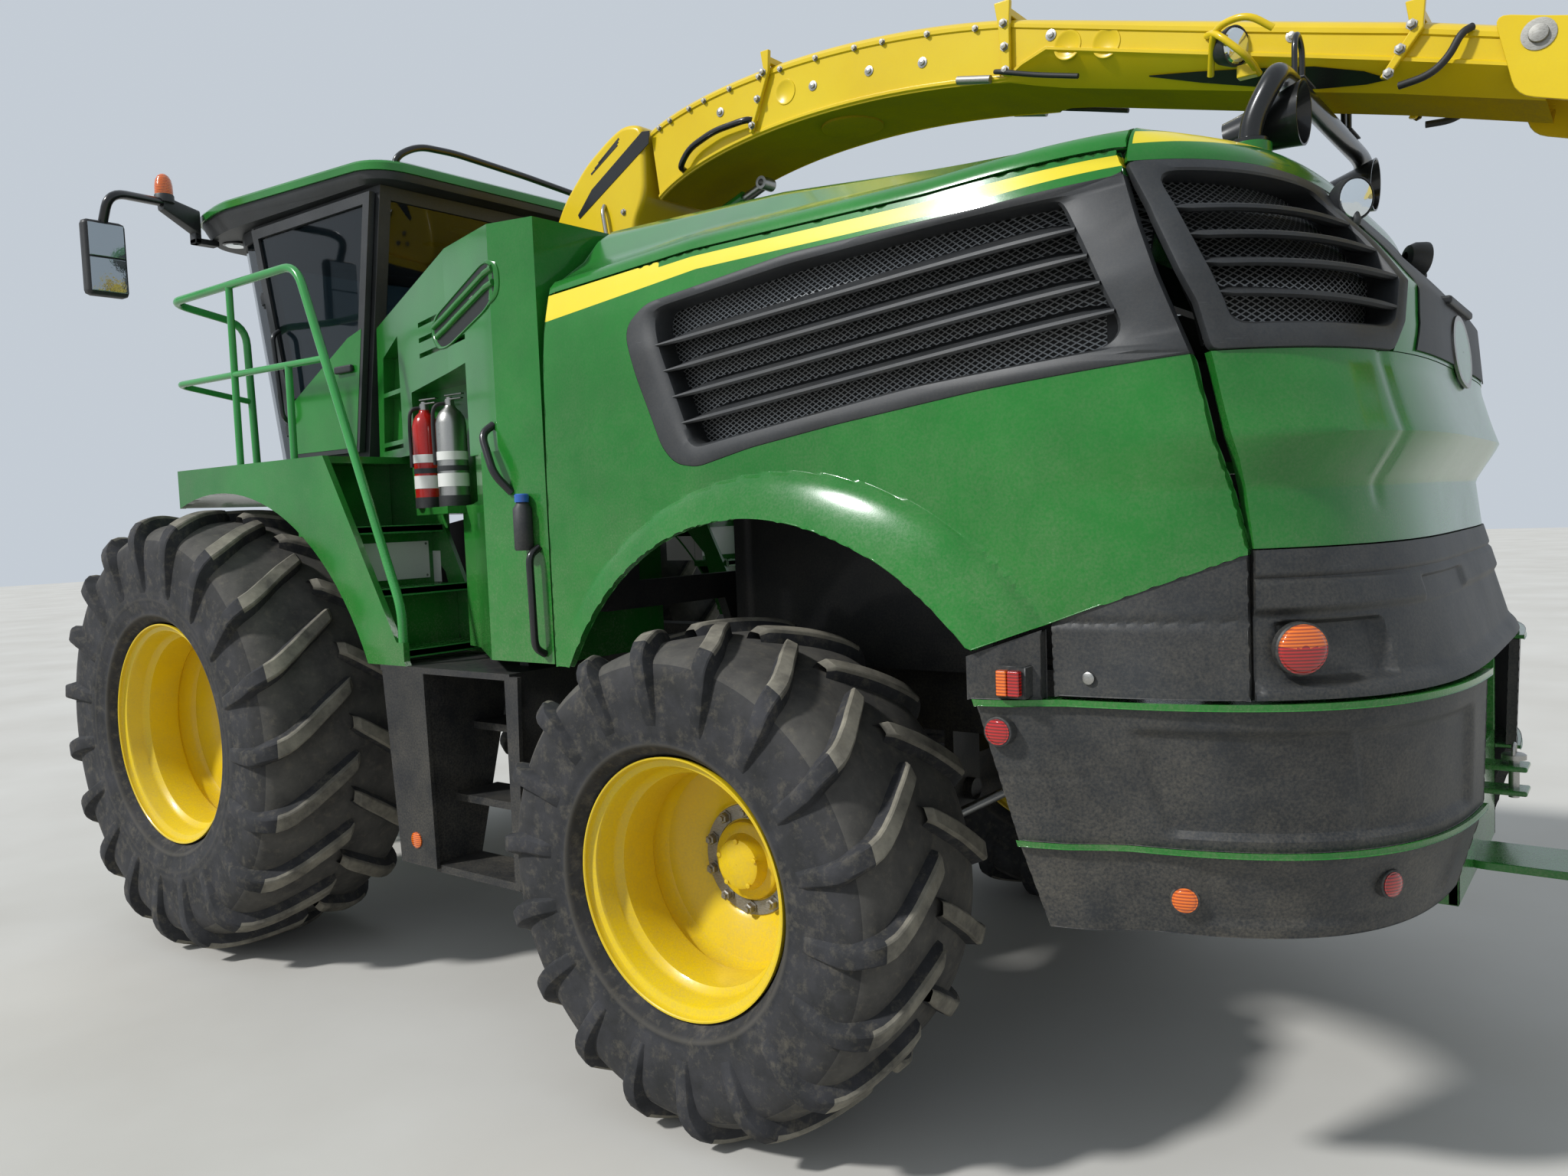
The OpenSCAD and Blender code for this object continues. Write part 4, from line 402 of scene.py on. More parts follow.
def tyre(name, centre, tip, width, rim, lug_h, lugs, body):
    """Casing turned about the axle, with ribs on the wall, and bent lugs laid along the casing.
    A lug's point is casing(t(s)) + normal * h(s, u), turned about the axle by sweep(s) + u * width(s),
    s from the nose at the crown to the foot on the wall and u across the lug."""
    x, y, z, side = centre
    crown = tip - lug_h
    at = casing(crown, rim, width)
    line = at(np.radians(np.linspace(-52, 232, 121)))
    # shallow rings on the wall: a rim guard and two fine lines
    radius = line[:, 1]
    guard = sum(high * np.exp(-((radius - rim - off) / wide) ** 2)
                for high, off, wide in ((9, 42, 14), (3.5, 120, 5), (3.5, 150, 5)))
    line = line + np.stack([np.sign(line[:, 0]) * guard, np.zeros_like(guard)], -1)
    steps = 144
    shoulder = crown - 0.17 * (crown - rim)
    made = [revolve(name, line, centre, "tyre", body, steps, 50)]
    tint(made[0], "tread", np.tile((radius[1:] + radius[:-1]) / 2 > shoulder, steps))
    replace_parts(made[0], name)
    rows, cols = 22, 11
    s = np.linspace(0, 1, rows)[:, None]
    u = np.array([-1.0, -0.93, -0.72, -0.62, -0.5, 0, 0.5, 0.62, 0.72, 0.93, 1.0])[None, :]
    lift = np.array([-0.14, 0.05, 0.72, 0.93, 1.0, 1.0, 1.0, 0.93, 0.72, 0.05, -0.14])[None, :]
    # path along the casing: from just past the crown to two thirds down the wall
    y_share = np.interp(s, [0, 0.55, 0.8, 1], [-0.03, 0.72, 0.985, 1.0])
    along = np.where(s < 0.8, np.arccos(np.clip(y_share, -1, 1) ** 2 * np.sign(y_share)), 0)
    corner = 58.8
    wall = np.radians(np.interp(s, [0.55, 0.7, 0.85, 1], [corner, 30, 8, -6]))
    bridge = [float(np.interp(0.45, s[:, 0], along[:, 0])), math.radians(corner)]
    angle = np.where(s < 0.55, along, wall)
    angle = np.where((s >= 0.45) & (s < 0.55), np.interp(s, [0.45, 0.55], bridge), angle)
    base = at(angle)
    step = 0.004
    tangent = at(angle + step) - at(angle - step)
    normal = np.stack([tangent[..., 1], -tangent[..., 0]], -1)
    normal /= np.linalg.norm(normal, axis=-1, keepdims=True)
    height = lug_h * np.interp(s, [0, 0.03, 0.1, 0.5, 0.62, 0.78, 0.93, 1.0],
                               [0.55, 0.92, 1.0, 1.0, 1.08, 0.72, 0.38, 0.0])
    half_w = np.interp(s, [0, 0.06, 0.5, 0.8, 1], [40, 50, 60, 58, 52]) * lug_h / 56
    sweep = np.interp(s, [0, 0.3, 0.6, 0.8, 1.0], [0, 6.0, 13.0, 15.6, 16.5])
    pieces_v, pieces_f = [], []
    pos = base + normal * (height * lift)[..., None]
    for mirror in (1, -1):
        for k in range(lugs):
            turn = np.radians((k + (mirror < 0) / 2) * 360 / lugs - sweep) + u * half_w / tip
            px = pos[..., 1] * np.sin(turn)
            pz = pos[..., 1] * np.cos(turn)
            py = pos[..., 0] * mirror * side
            pts = np.stack([px, np.broadcast_to(py, px.shape), pz], -1) + np.array([x, y, z])
            pieces_f.append(quads(rows, cols, len(pieces_v) * rows * cols, flip=(mirror * side) < 0))
            pieces_v.append(pts.reshape(-1, 3))
    bars = build(name + "_lugs", place(np.concatenate(pieces_v)), np.concatenate(pieces_f), "tyre", body, 28)
    i, j = np.meshgrid(np.arange(rows - 1), np.arange(cols - 1), indexing="ij")
    tint(bars, "lug_face", np.tile(((j >= 2) & (j <= 7) & (i < 13)).ravel(), 2 * lugs))


# Body stations as [height, half width, rearmost point]
SECTIONS = np.array([
    [830, 1290, -1975], [1060, 1350, -2040], [1455, 1415, -2050], [1505, 1415, -2030],
    [1830, 1415, -1935], [1985, 1415, -1915], [2110, 1415, -1985], [2290, 1410, -1935],
    [2515, 1405, -1915], [2650, 1390, -1810], [2765, 1362, -1705], [2830, 1342, -1665]], float)
# Side panel: front edge, level lower edge, thickness and gap; wheel arch: middle, radius and lip
PANEL_FRONT, PANEL_LOW, PANEL_T, GAP = 700.0, 1455.0, 28.0, 10.0
ARCH_X, ARCH_Z, ARCH_R, FLARE = -210.0, 993.0, 960.0, 70.0


def half_width(z):
    """Half width of the body at a height, straight between its stations."""
    return np.interp(z, SECTIONS[:, 0], SECTIONS[:, 1])


def reach(z, d=0.0):
    """Length of the rounded part of the plan outline at a height, d inside the skin."""
    return CURVE - np.interp(z, SECTIONS[:, 0], SECTIONS[:, 2]) - d


def body_y(x, z, d=0.0):
    """Half width of the body at station x and height z: straight, then a fourth-power oval."""
    return (half_width(z) - d) * np.maximum(0, 1 - np.maximum(0, (CURVE - x) / reach(z, d)) ** 4) ** 0.25


def tail_point(angle, z, d=0.0):
    """Point of the same oval at a plan angle in degrees, 0 on the left side and 90 at the rear."""
    s, c = np.sin(np.radians(angle)), np.cos(np.radians(angle))
    x = CURVE - reach(z, d) * np.sqrt(np.abs(s))
    y = (half_width(z) - d) * np.sign(c) * np.sqrt(np.abs(c))
    return np.stack(np.broadcast_arrays(x, y, z * 1.0), -1)


def panel_top(x):
    """Height of the side panel's upper edge at a station."""
    return np.interp(x, [-1360, -800, 50, 700], [2852, 2815, 2806, 2757])


ARCH_FOOT = ARCH_X + math.sqrt(ARCH_R ** 2 - (PANEL_LOW - ARCH_Z) ** 2)
ARCH_END = -967.0
ARCH_END_Z = ARCH_Z + math.sqrt(ARCH_R ** 2 - (ARCH_END - ARCH_X) ** 2)
SILL_TOP = 1801.0


def panel_bottom(x):
    """Lower edge of the side panel: level, then round the wheel, then rising to the tail."""
    arch = ARCH_Z + np.sqrt(np.maximum(0, ARCH_R ** 2 - (x - ARCH_X) ** 2))
    slope = ARCH_END_Z + (SILL_TOP - ARCH_END_Z) * (ARCH_END - x) / (ARCH_END + 1560)
    return np.where(x > ARCH_FOOT, PANEL_LOW, np.where(x > ARCH_END, arch, slope))


def panel_rear(z):
    """Station of the side panel's rear edge at a height."""
    return np.interp(z, [1465, 1830, 2312, 2800, 2860], [-1640, -1627, -1517, -1336, -1314])


def tail_edge(z):
    """Plan angle of the tail's edge beside the side panel."""
    x = np.interp(z, [1465, 1830, 2050, 2312, 2437, 2690, 2800, 2860],
                  [-1656, -1645, -1619, -1563, -1530, -1412, -1352, -1332])
    return np.degrees(np.arcsin(np.clip(((CURVE - x) / reach(z)) ** 2, 0, 1)))


def strip_edge(z):
    """Plan angle of the centre strip's left edge, which leans in towards the top."""
    return np.interp(z, [2318, 2400, 2515, 2600, 2822], [69, 73.5, 76, 77.7, 80])


def flare(x, z):
    """How far the arch lip stands out: a ledge that grows rearwards and drops back to the panel."""
    away = np.hypot(x - ARCH_X, z - ARCH_Z) - ARCH_R
    along = np.clip((ARCH_FOOT - x) / (ARCH_FOOT - ARCH_END), 0, 1)
    share = np.clip(1 - np.maximum(away, 0) / (60 + 130 * along), 0, 1)
    return FLARE * 1.25 * np.sin(np.pi / 2 * along) ** 1.1 * share ** 0.55


def smooth(v, a, b):
    """Soft step from 0 at a to 1 at b."""
    t = np.clip((v - a) / (b - a), 0, 1)
    return t * t * (3 - 2 * t)


def dent(u, v, u0, u1, v0, v1, eu, ev):
    """1 inside a rectangle of the skin and 0 outside, with soft walls eu and ev wide."""
    across = smooth(u, u0, u0 + eu) * (1 - smooth(u, u1 - eu, u1))
    return across * smooth(v, v0, v0 + ev) * (1 - smooth(v, v1 - ev, v1))


def mirrored(points, side):
    """The same points, or their mirror image on the right side."""
    return points * np.array([1, side, 1]) if side < 0 else points


def sided(outer, inner, side):
    """Grids for the left side, or the same mirrored and reversed for the right side."""
    if side > 0:
        return outer, inner
    return mirrored(outer, -1)[::-1], mirrored(inner, -1)[::-1]


def rounded(corners, radius, steps=5):
    """Closed outline with each corner rounded by a short curve."""
    corners = np.asarray(corners, float)
    out = []
    for i, corner in enumerate(corners):
        before, after = corners[i - 1], corners[(i + 1) % len(corners)]
        a = corner + (before - corner) * min(0.45, radius / np.linalg.norm(before - corner))
        b = corner + (after - corner) * min(0.45, radius / np.linalg.norm(after - corner))
        t = np.linspace(0, 1, steps)[:, None]
        out.append(a * (1 - t) ** 2 + 2 * corner * t * (1 - t) + b * t ** 2)
    return np.concatenate(out)


def resample(outline, count, start):
    """The closed outline as count points at equal steps, beginning nearest to start."""
    outline = np.asarray(outline, float)
    first = np.argmin(np.linalg.norm(outline - start, axis=1))
    loop = np.roll(outline, -first, axis=0)
    loop = np.vstack([loop, loop[:1]])
    run = np.concatenate([[0], np.cumsum(np.linalg.norm(np.diff(loop, axis=0), axis=1))])
    at = np.linspace(0, run[-1], count, endpoint=False)
    return np.stack([np.interp(at, run, loop[:, k]) for k in (0, 1)], -1)


def prism(outline, y0, y1):
    """Closed prism of a side-view outline between two distances from the centre line, faces outwards."""
    outline = np.asarray(outline, float)
    area = np.sum(outline[:, 0] * np.roll(outline[:, 1], -1) - np.roll(outline[:, 0], -1) * outline[:, 1])
    outline = outline if area < 0 else outline[::-1]
    n = len(outline)
    points = np.array([[p[0], y, p[1]] for y in (y0, y1) for p in outline])
    i = np.arange(n)
    walls = np.stack([i, (i + 1) % n, (i + 1) % n + n, i + n], -1)
    return points, [walls, np.arange(n)[None, ::-1], np.arange(n, 2 * n)[None, :]]


def cut(obj, outline, y0, y1):
    """Cuts a side-view outline through a piece between two distances from the centre line."""
    points, faces = prism(outline, y0, y1)
    cutter = build("cutter", place(points), faces, "black_plastic")
    step = obj.modifiers.new("cut", "BOOLEAN")
    step.operation = "DIFFERENCE"
    step.solver = "EXACT"
    step.object = cutter
    shown = obj.evaluated_get(bpy.context.evaluated_depsgraph_get())
    made = bpy.data.meshes.new_from_object(shown)
    obj.modifiers.clear()
    old = obj.data
    obj.data = made
    bpy.data.meshes.remove(old)
    bpy.data.objects.remove(cutter)


def soften(obj, width, segments=2, angle=40):
    """Rounds the edges sharper than angle, width in millimetres."""
    step = obj.modifiers.new("edges", "BEVEL")
    step.width = width / 1000
    step.segments = segments
    step.limit_method = "ANGLE"
    step.angle_limit = math.radians(angle)
    step.harden_normals = True
    return obj


def tail_skin(name, left, heights, d, look, columns, thickness=PANEL_T):
    """Skin of the tail from a left edge, given as a plan angle by height, to its mirror image on the right;
    d is its depth by angle and height."""
    z, s = np.meshgrid(heights, np.linspace(0, 1, columns), indexing="xy")
    a = left(z) + (180 - left(z) - left(z)) * s
    depth = d(a, z)
    return shell(name, tail_point(a, z, depth), tail_point(a, z, depth * 0 + thickness + np.max(depth)), look)


def ring_mesh(name, loops, look, body, flip, angle=35):
    """Skin that runs through closed loops of points, each given from outside inwards."""
    loops = np.stack(loops)
    m, n = loops.shape[:2]
    return build(name, place(loops.reshape(-1, 3)), quads(m, n, wrap_n=True, flip=flip), look, body, angle)


def strip_mesh(name, rows, look, body="chassis", flip=False, wrap=False, angle=30):
    """Open or closed sheet through rows of points."""
    rows = np.asarray(rows, float)
    m, n = rows.shape[:2]
    return build(name, place(rows.reshape(-1, 3)), quads(m, n, wrap_n=wrap, flip=flip), look, body, angle)


def tube(name, points, r, look, body="chassis", bend=80, count=14):
    """Round tube along a path of millimetre points; each corner is rounded by a quadratic curve."""
    points = np.asarray(points, float)
    path = [points[:1]]
    for i in range(1, len(points) - 1):
        before, corner, after = points[i - 1], points[i], points[i + 1]
        a = corner + (before - corner) * min(0.48, bend / np.linalg.norm(before - corner))
        b = corner + (after - corner) * min(0.48, bend / np.linalg.norm(after - corner))
        t = np.linspace(0, 1, 7)[:, None]
        path.append(a * (1 - t) ** 2 + 2 * corner * t * (1 - t) + b * t ** 2)
    path.append(points[-1:])
    line = np.concatenate(path)
    ahead = np.gradient(line, axis=0)
    ahead /= np.linalg.norm(ahead, axis=1, keepdims=True)
    side = np.cross(ahead[0], [0.3, 0.2, 1.0] if abs(ahead[0][2]) < 0.9 else [1.0, 0.1, 0])
    sides = []
    for v in ahead:
        side = side - v * np.dot(side, v)
        side = side / np.linalg.norm(side)
        sides.append(side)
    sides = np.array(sides)
    up = np.cross(ahead, sides)
    turn = np.linspace(0, 2 * math.pi, count, endpoint=False)
    around = sides[:, None] * np.cos(turn)[None, :, None] + up[:, None] * np.sin(turn)[None, :, None]
    ring = line[:, None] + r * around
    m = len(line)
    idx = np.arange(m * count).reshape(m, count)
    faces = [quads(m, count, wrap_n=True), idx[:1, ::-1], idx[-1:]]
    return build(name, place(ring.reshape(-1, 3)), faces, look, body, 40)


def box(name, low, high, look, body="chassis", edge=4, turn=0.0, about=None):
    """Block between two corners in millimetres, with rounded edges, turned about Z if asked."""
    low, high = np.asarray(low, float), np.asarray(high, float)
    x, y, z = (np.array([low[i], high[i]]) for i in range(3))
    points = np.array([[a, b, c] for a in x for b in y for c in z])
    if turn:
        about = (low + high) / 2 if about is None else np.asarray(about, float)
        c, s = math.cos(math.radians(turn)), math.sin(math.radians(turn))
        points = (points - about) @ np.array([[c, s, 0], [-s, c, 0], [0, 0, 1]]) + about
    faces = np.array([[0, 1, 3, 2], [4, 6, 7, 5], [0, 4, 5, 1], [2, 3, 7, 6], [0, 2, 6, 4], [1, 5, 7, 3]])
    obj = build(name, place(points), faces, look, body, 30)
    return soften(obj, edge) if edge else obj


def plate(name, outline, y0, y1, look, body="chassis", edge=3):
    """Plate of a side-view outline between two distances from the centre line."""
    points, faces = prism(outline, min(y0, y1), max(y0, y1))
    return soften(build(name, place(points), faces, look, body, 30), edge)


def lathe(name, at, axis, profile, look, body="chassis", count=32, angle=35):
    """Surface of a [along, radius] profile turned about an axis through a point."""
    axis = np.asarray(axis, float) / np.linalg.norm(axis)
    side = np.cross(axis, [0.31, 0.52, 0.8])
    side /= np.linalg.norm(side)
    up = np.cross(axis, side)
    profile = np.asarray(profile, float)
    turn = np.linspace(0, 2 * math.pi, count, endpoint=False)[:, None, None]
    points = np.asarray(at, float) + axis * profile[None, :, :1] + profile[None, :, 1:] * (
        side * np.cos(turn) + up * np.sin(turn))
    return build(name, place(points.reshape(-1, 3)), quads(count, len(profile), wrap_m=True, flip=True), look,
                 body, angle)


# Side views of the moulded surround and of its opening, and the yellow stripe's lower edge
SURROUND = rounded([[0, 2120], [90, 2135], [147, 2190], [257, 2435], [301, 2566], [288, 2612], [212, 2665],
                    [-356, 2735], [-983, 2752], [-1277, 2778], [-1450, 2800], [-1700, 2806], [-1700, 2330],
                    [-1517, 2312], [-995, 2267], [-530, 2212], [-218, 2167]], 34)
GRILLE = rounded([[20, 2190], [54, 2265], [161, 2524], [180, 2600], [165, 2640], [-362, 2698], [-756, 2720],
                  [-1172, 2737], [-1195, 2727], [-1356, 2390], [-1319, 2345], [-763, 2299], [-218, 2222]], 40)
STRIPE_X = [-1333, -813, 23, 714]
STRIPE_LOW = [2811, 2759, 2746, 2665]


def on_side(outline, d):
    """A side-view outline laid on the body's side, d inside its skin and no further back than its edge."""
    z = outline[:, 1]
    x = np.maximum(outline[:, 0], panel_rear(z))
    return np.stack([x, body_y(x, z, d) + flare(x, z), z], -1)


def side_panel(side):
    """Green skin of the engine cover: z runs from the lower edge through the stripe to the upper edge, y is
    the body's half width plus the arch lip, and the surround's outline is cut out of it."""
    word = WORD[side]
    f = np.linspace(0, 1, 150)[:, None]
    x0 = PANEL_FRONT + (panel_rear(1900.0) - PANEL_FRONT) * f
    x1 = PANEL_FRONT + (panel_rear(2840.0) - PANEL_FRONT) * f
    low, high = panel_bottom(x0), panel_top(x1)
    stripe = np.minimum(np.interp(x1, STRIPE_X, STRIPE_LOW), high - 12)
    g = np.concatenate([np.linspace(0, 0.25, 22), np.linspace(0.25, 1, 24)[1:]])[None, :]
    z = np.concatenate([low + (stripe - low) * g, stripe + (high - stripe) * np.linspace(0, 1, 5)[None, 1:]],
                       1)
    x = PANEL_FRONT + (panel_rear(z) - PANEL_FRONT) * f
    def layer(d):
        """The skin drawn in by d."""
        return np.stack([x, body_y(x, z, d) + flare(x, z), z], -1)
    outer, inner = sided(layer(0), layer(PANEL_T - 4), side)
    obj = shell("panel_" + word, outer, inner, "body_paint", "engine_cover_" + word, 25)
    at = face_centres(obj)
    top = panel_top(at[:, 0])
    edge = np.minimum(np.interp(at[:, 0], STRIPE_X, STRIPE_LOW), top - 12)
    tint(obj, "stripe", (at[:, 2] > edge + 2) & (at[:, 2] < top - 9))
    cut(obj, SURROUND, *span(side, 1000, 1600))
    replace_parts(soften(obj, 3), "side_panel_" + word)


def side_grille(side):
    """Moulded surround blended from its outline to its opening, four slanted blades, and wire mesh behind
    them over a near-black sheet of painted shade; and the black sill below the green skin."""
    word = WORD[side]
    body = "engine_cover_" + word
    start = np.array([0, 2120])
    outer, inner = resample(SURROUND, 260, start), resample(GRILLE, 260, start)
    def between(t, d):
        """Loop at share t of the way from the outline to the opening, d inside the skin."""
        return mirrored(on_side(outer + (inner - outer) * t, d), side)
    loops = [between(0.0, 26), between(0.0, 3), between(0.02, -2), between(0.1, -4), between(0.55, -3),
             between(0.85, 2), between(0.97, 12), between(1.0, 24), between(1.0, 96)]
    made = [ring_mesh("grille_frame_" + word, loops, "black_plastic", body, side > 0)]
    f = np.linspace(0, 1, 50)
    for k in range(4):
        x = (95 + 35.7 * k) * (1 - f) + (-1345 + 34.3 * k) * f
        z = (2262 + 86.3 * k) * (1 - f) + (2436 + 73 * k) * f
        taper = np.interp(f, [0, 0.1, 0.93, 1], [0.3, 1, 1, 0.6])
        section = np.array([[10, -12], [5, -5], [7, 4], [16, 9], [95, 44], [95, 36], [34, -8]])
        loops = np.stack([np.stack([x, body_y(x, z, p[0]), z + p[1] * taper], -1) for p in section], 1)
        made.append(strip_mesh(f"blade_{word}_{k}", mirrored(loops, side), "black_plastic", body, side < 0,
                               True))
    f, z = np.meshgrid(np.linspace(0, 1, 60), np.linspace(2130, 2800, 20), indexing="ij")
    x = 300 - 1690 * f
    # the mesh, and behind it a near-black sheet that is painted shade
    for name, d, look in (("grille_mesh_", 92, "mesh"), ("grille_painted_shade_", 102, "dark_void")):
        sheet = mirrored(np.stack([x, body_y(x, z, d), z], -1), side)
        made.append(strip_mesh(name + word, sheet, look, body, side < 0))
    # black sill under the green skin, with a fine groove along it
    f = np.linspace(0.805, 1, 40)[:, None]
    low = panel_bottom(PANEL_FRONT + (panel_rear(1900.0) - PANEL_FRONT) * f) - 3
    z = 1465 + (low - 1465) * np.linspace(0, 1, 24)[None, :]
    x = PANEL_FRONT + (panel_rear(z) - PANEL_FRONT) * f
    def layer(d):
        """The sill drawn in by d, and up to 6 mm more in its groove."""
        return np.stack([x, body_y(x, z, d + 6 * np.exp(-((z - 1655) / 9) ** 2)), z], -1)
    grids = sided(layer(3), layer(PANEL_T), side)
    made.append(soften(shell("sill_" + word, *grids, "black_plastic", body), 3))
    for piece in made:
        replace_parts(piece, "side_grille_" + word)


def hood_half(x):
    """Left half of the hood's section at a station, as (y, z) from the panel's edge to the ridge."""
    z0 = panel_top(x) + GAP
    y0 = body_y(x, z0)
    zr = np.interp(x, [-1350, -1280, -100, 700], [2940, 2945, 3035, 3045])
    return [(y0, z0), (y0 - 5, z0 + 20), (y0 - 30, z0 + 46), (y0 - 60, z0 + 56),
            (y0 + (1045 - y0) * 0.55, z0 + 56 + (zr - z0 - 56) * 0.35),
            (y0 + (1045 - y0) * 0.8, z0 + 56 + (zr - z0 - 56) * 0.75), (1030, zr - 6), (1000, zr),
            (900, zr + 8), (795, zr + 12), (450, zr + 28), (200, zr + 33)]


def hood():
    """Green roof of the engine bay: its half section and its mirror image carried along the body."""
    rows = []
    for x in np.linspace(PANEL_FRONT, -1340, 60):
        half = hood_half(x)
        rows.append([[x, y, z] for y, z in half] + [[x, -y, z] for y, z in reversed(half)])
    outer = np.array(rows)
    inner = outer * np.array([1, 0.985, 1]) - np.array([0, 0, 22])
    inner[:, 0, 2] += 22
    inner[:, -1, 2] += 22
    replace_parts(soften(shell("hood", outer, inner, "body_paint"), 5), "hood_top")


def cap_point(a, t, d):
    """Point of the tail's top, a quarter oval in height from its rim up to the seam behind the hood."""
    rim = tail_point(a, np.full_like(a, 2822.0), d)
    keep = np.interp(np.minimum(a, 180 - a), [31, 45, 57.5], [0.94, 0.87, 0.8])
    y1 = rim[..., 1] * keep
    z1 = np.interp(np.abs(y1), [0, 520, 1045, 1260], [2968, 2958, 2930, 2912]) - d
    c, s = np.cos(np.radians(90 * t)), np.sin(np.radians(90 * t))
    return np.stack([rim[..., 0] + (-1350 - rim[..., 0]) * (1 - c),
                     rim[..., 1] + (y1 - rim[..., 1]) * (1 - c), 2822 + (z1 - 2822) * s], -1)


def tail_green():
    """Green skins of the tail: the lower one with its crease, the centre, and the cap with its stripe."""
    def swell(a, z):
        """The lower skin bulges out over a crease and carries a shallow vertical bead beside the centre."""
        side = np.minimum(a, 180 - a)
        bead = 6 * np.exp(-((side - 66) / 1.3) ** 2) * smooth(z, 1900, 1960)
        return 5 - 5 * np.exp(-((z - 2090) / 60) ** 2) + bead
    made = [tail_skin("tail_low", tail_edge, np.linspace(1832, 2316, 34), swell, "body_paint", columns=150),
            tail_skin("tail_centre", strip_edge, np.linspace(2318, 2822, 24), lambda a, z: 3.0 + 0 * z,
                      "body_paint", columns=40)]
    # top cap with the yellow stripe that tapers off towards the centre
    edge = float(tail_edge(2822.0))
    columns = 150
    a = np.linspace(edge, 180 - edge, columns)[:, None]
    side = np.minimum(a, 180 - a)
    w = smooth(side, 52, 77)
    low, high = 0.30 + 0.16 * w, 0.62 - 0.14 * w
    g = np.linspace(0, 1, 6)[None, :]
    t = np.concatenate([low * g, low + (high - low) * g[:, 1:],
                        high + (1 - high) * np.linspace(0, 1, 10)[None, 1:]], 1)
    a = a + t * 0
    cap = shell("tail_cap", cap_point(a, t, 0), cap_point(a, t, PANEL_T), "body_paint")
    i, j = np.meshgrid(np.arange(columns - 1), np.arange(t.shape[1] - 1), indexing="ij")
    turn = np.minimum(a[:-1, :-1], 180 - a[:-1, :-1])
    yellow = np.zeros(len(cap.data.polygons), bool)
    yellow[:i.size] = ((j >= 5) & (j < 10) & (turn < 77) & (i > 0) & (i < columns - 2)).ravel()
    tint(cap, "stripe", yellow)
    made.append(cap)
    for side in (1, -1):
        made.append(lathe("boss", (-1480, side * 645, 2925), (0, 0, 1),
                          [(0, 0), (0, 62), (37, 62), (40, 58), (40, 0)], "body_paint"))
        y = span(side, 500, 560)
        made.append(box("tail_bracket", (-1912, y[0], 2030), (-1302, y[1], 2068), "body_paint"))
    for piece in made:
        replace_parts(piece, "tail_hood")


def tail_band():
    """Black band of the tail; its depth is the greatest of lamp pocket, plate recess, latch, brow, groove."""
    def depth(a, z):
        """Depth at a plan angle and a height."""
        side = np.minimum(a, 180 - a)
        lamp = 40 * dent(side, z, 38, 62, 1492, 1664, 3.5, 26)
        plate_ = 12 * dent(a, z, 73, 88, 1548, 1740, 0.8, 12)
        latch = 10 * dent(side, z, 31, 35.5, 1475, 1562, 1.0, 12)
        brow = 14 * smooth(z, 1690, 1664) * smooth(z, 1480, 1520)
        groove = 7 * np.exp(-((z - 1757) / 7) ** 2)
        return np.maximum.reduce([lamp, plate_, latch, brow, groove])
    band = tail_skin("band", tail_edge, np.linspace(1465, 1828, 90), depth, "black_plastic", columns=260,
                     thickness=8)
    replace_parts(band, "tail_band")


def grille_spot(u, v, d):
    """Point of the left tail grille: u from the tail's edge to the centre strip, v from foot to top."""
    z = 2318 + 504 * v
    a = tail_edge(z) + (strip_edge(z) - 0.2 - tail_edge(z)) * u
    return tail_point(a, z, d)


def tail_grille():
    """Louvred parts of the tail on both sides of its centre: a frame, four blades, mesh, and behind it a
    near-black sheet of painted shade.
    """
    outer = resample(rounded([[0, 0], [1, 0], [1, 1], [0, 1]], 0.03), 200, np.array([0, 0]))
    inner = resample(rounded([[0.115, 0.13], [0.935, 0.13], [0.95, 0.6], [0.92, 0.93], [0.1, 0.93],
                              [0.105, 0.5]],
                             0.09), 200, np.array([0, 0]))
    made = []
    for side in (1, -1):
        def between(t, d):
            """Loop at share t of the way from the outline to the opening, d inside the skin."""
            p = outer + (inner - outer) * t
            return mirrored(grille_spot(p[:, 0], p[:, 1], d), side)
        loops = [between(0.0, 26), between(0.0, 3), between(0.03, -1), between(0.12, -2), between(0.7, 0),
                 between(0.9, 5), between(1.0, 16), between(1.02, 96)]
        made.append(ring_mesh(f"tail_frame_{side}", loops, "black_plastic", "chassis", side > 0))
        f = np.linspace(0, 1, 40)
        for k in range(4):
            z = (2685 - 75 * k) * (1 - f) + (2690 - 84 * k) * f
            a = tail_edge(z) + (strip_edge(z) - tail_edge(z)) * (0.09 + 0.855 * f)
            taper = np.interp(f, [0, 0.07, 0.9, 1], [0.3, 1, 1, 0.7])
            rows = [tail_point(a, z, p[0]) + np.stack([z * 0, z * 0, p[1] * taper], -1)
                    for p in ((12, -12), (4, -6), (5, 3), (14, 8), (90, 30), (90, 24), (40, -6))]
            made.append(strip_mesh(f"tail_blade_{side}_{k}", mirrored(np.stack(rows, 1), side),
                                   "black_plastic", flip=side < 0, wrap=True))
        u, v = np.meshgrid(np.linspace(0.05, 0.97, 40), np.linspace(0.05, 0.97, 20), indexing="ij")
        # the mesh, and behind it a near-black sheet that is painted shade
        for name, d, look in (("tail_mesh", 88, "mesh_round"), ("tail_painted_shade", 104, "dark_void")):
            made.append(strip_mesh(name, mirrored(grille_spot(u, v, d), side), look, flip=side < 0))
    for piece in made:
        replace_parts(piece, "tail_grille")


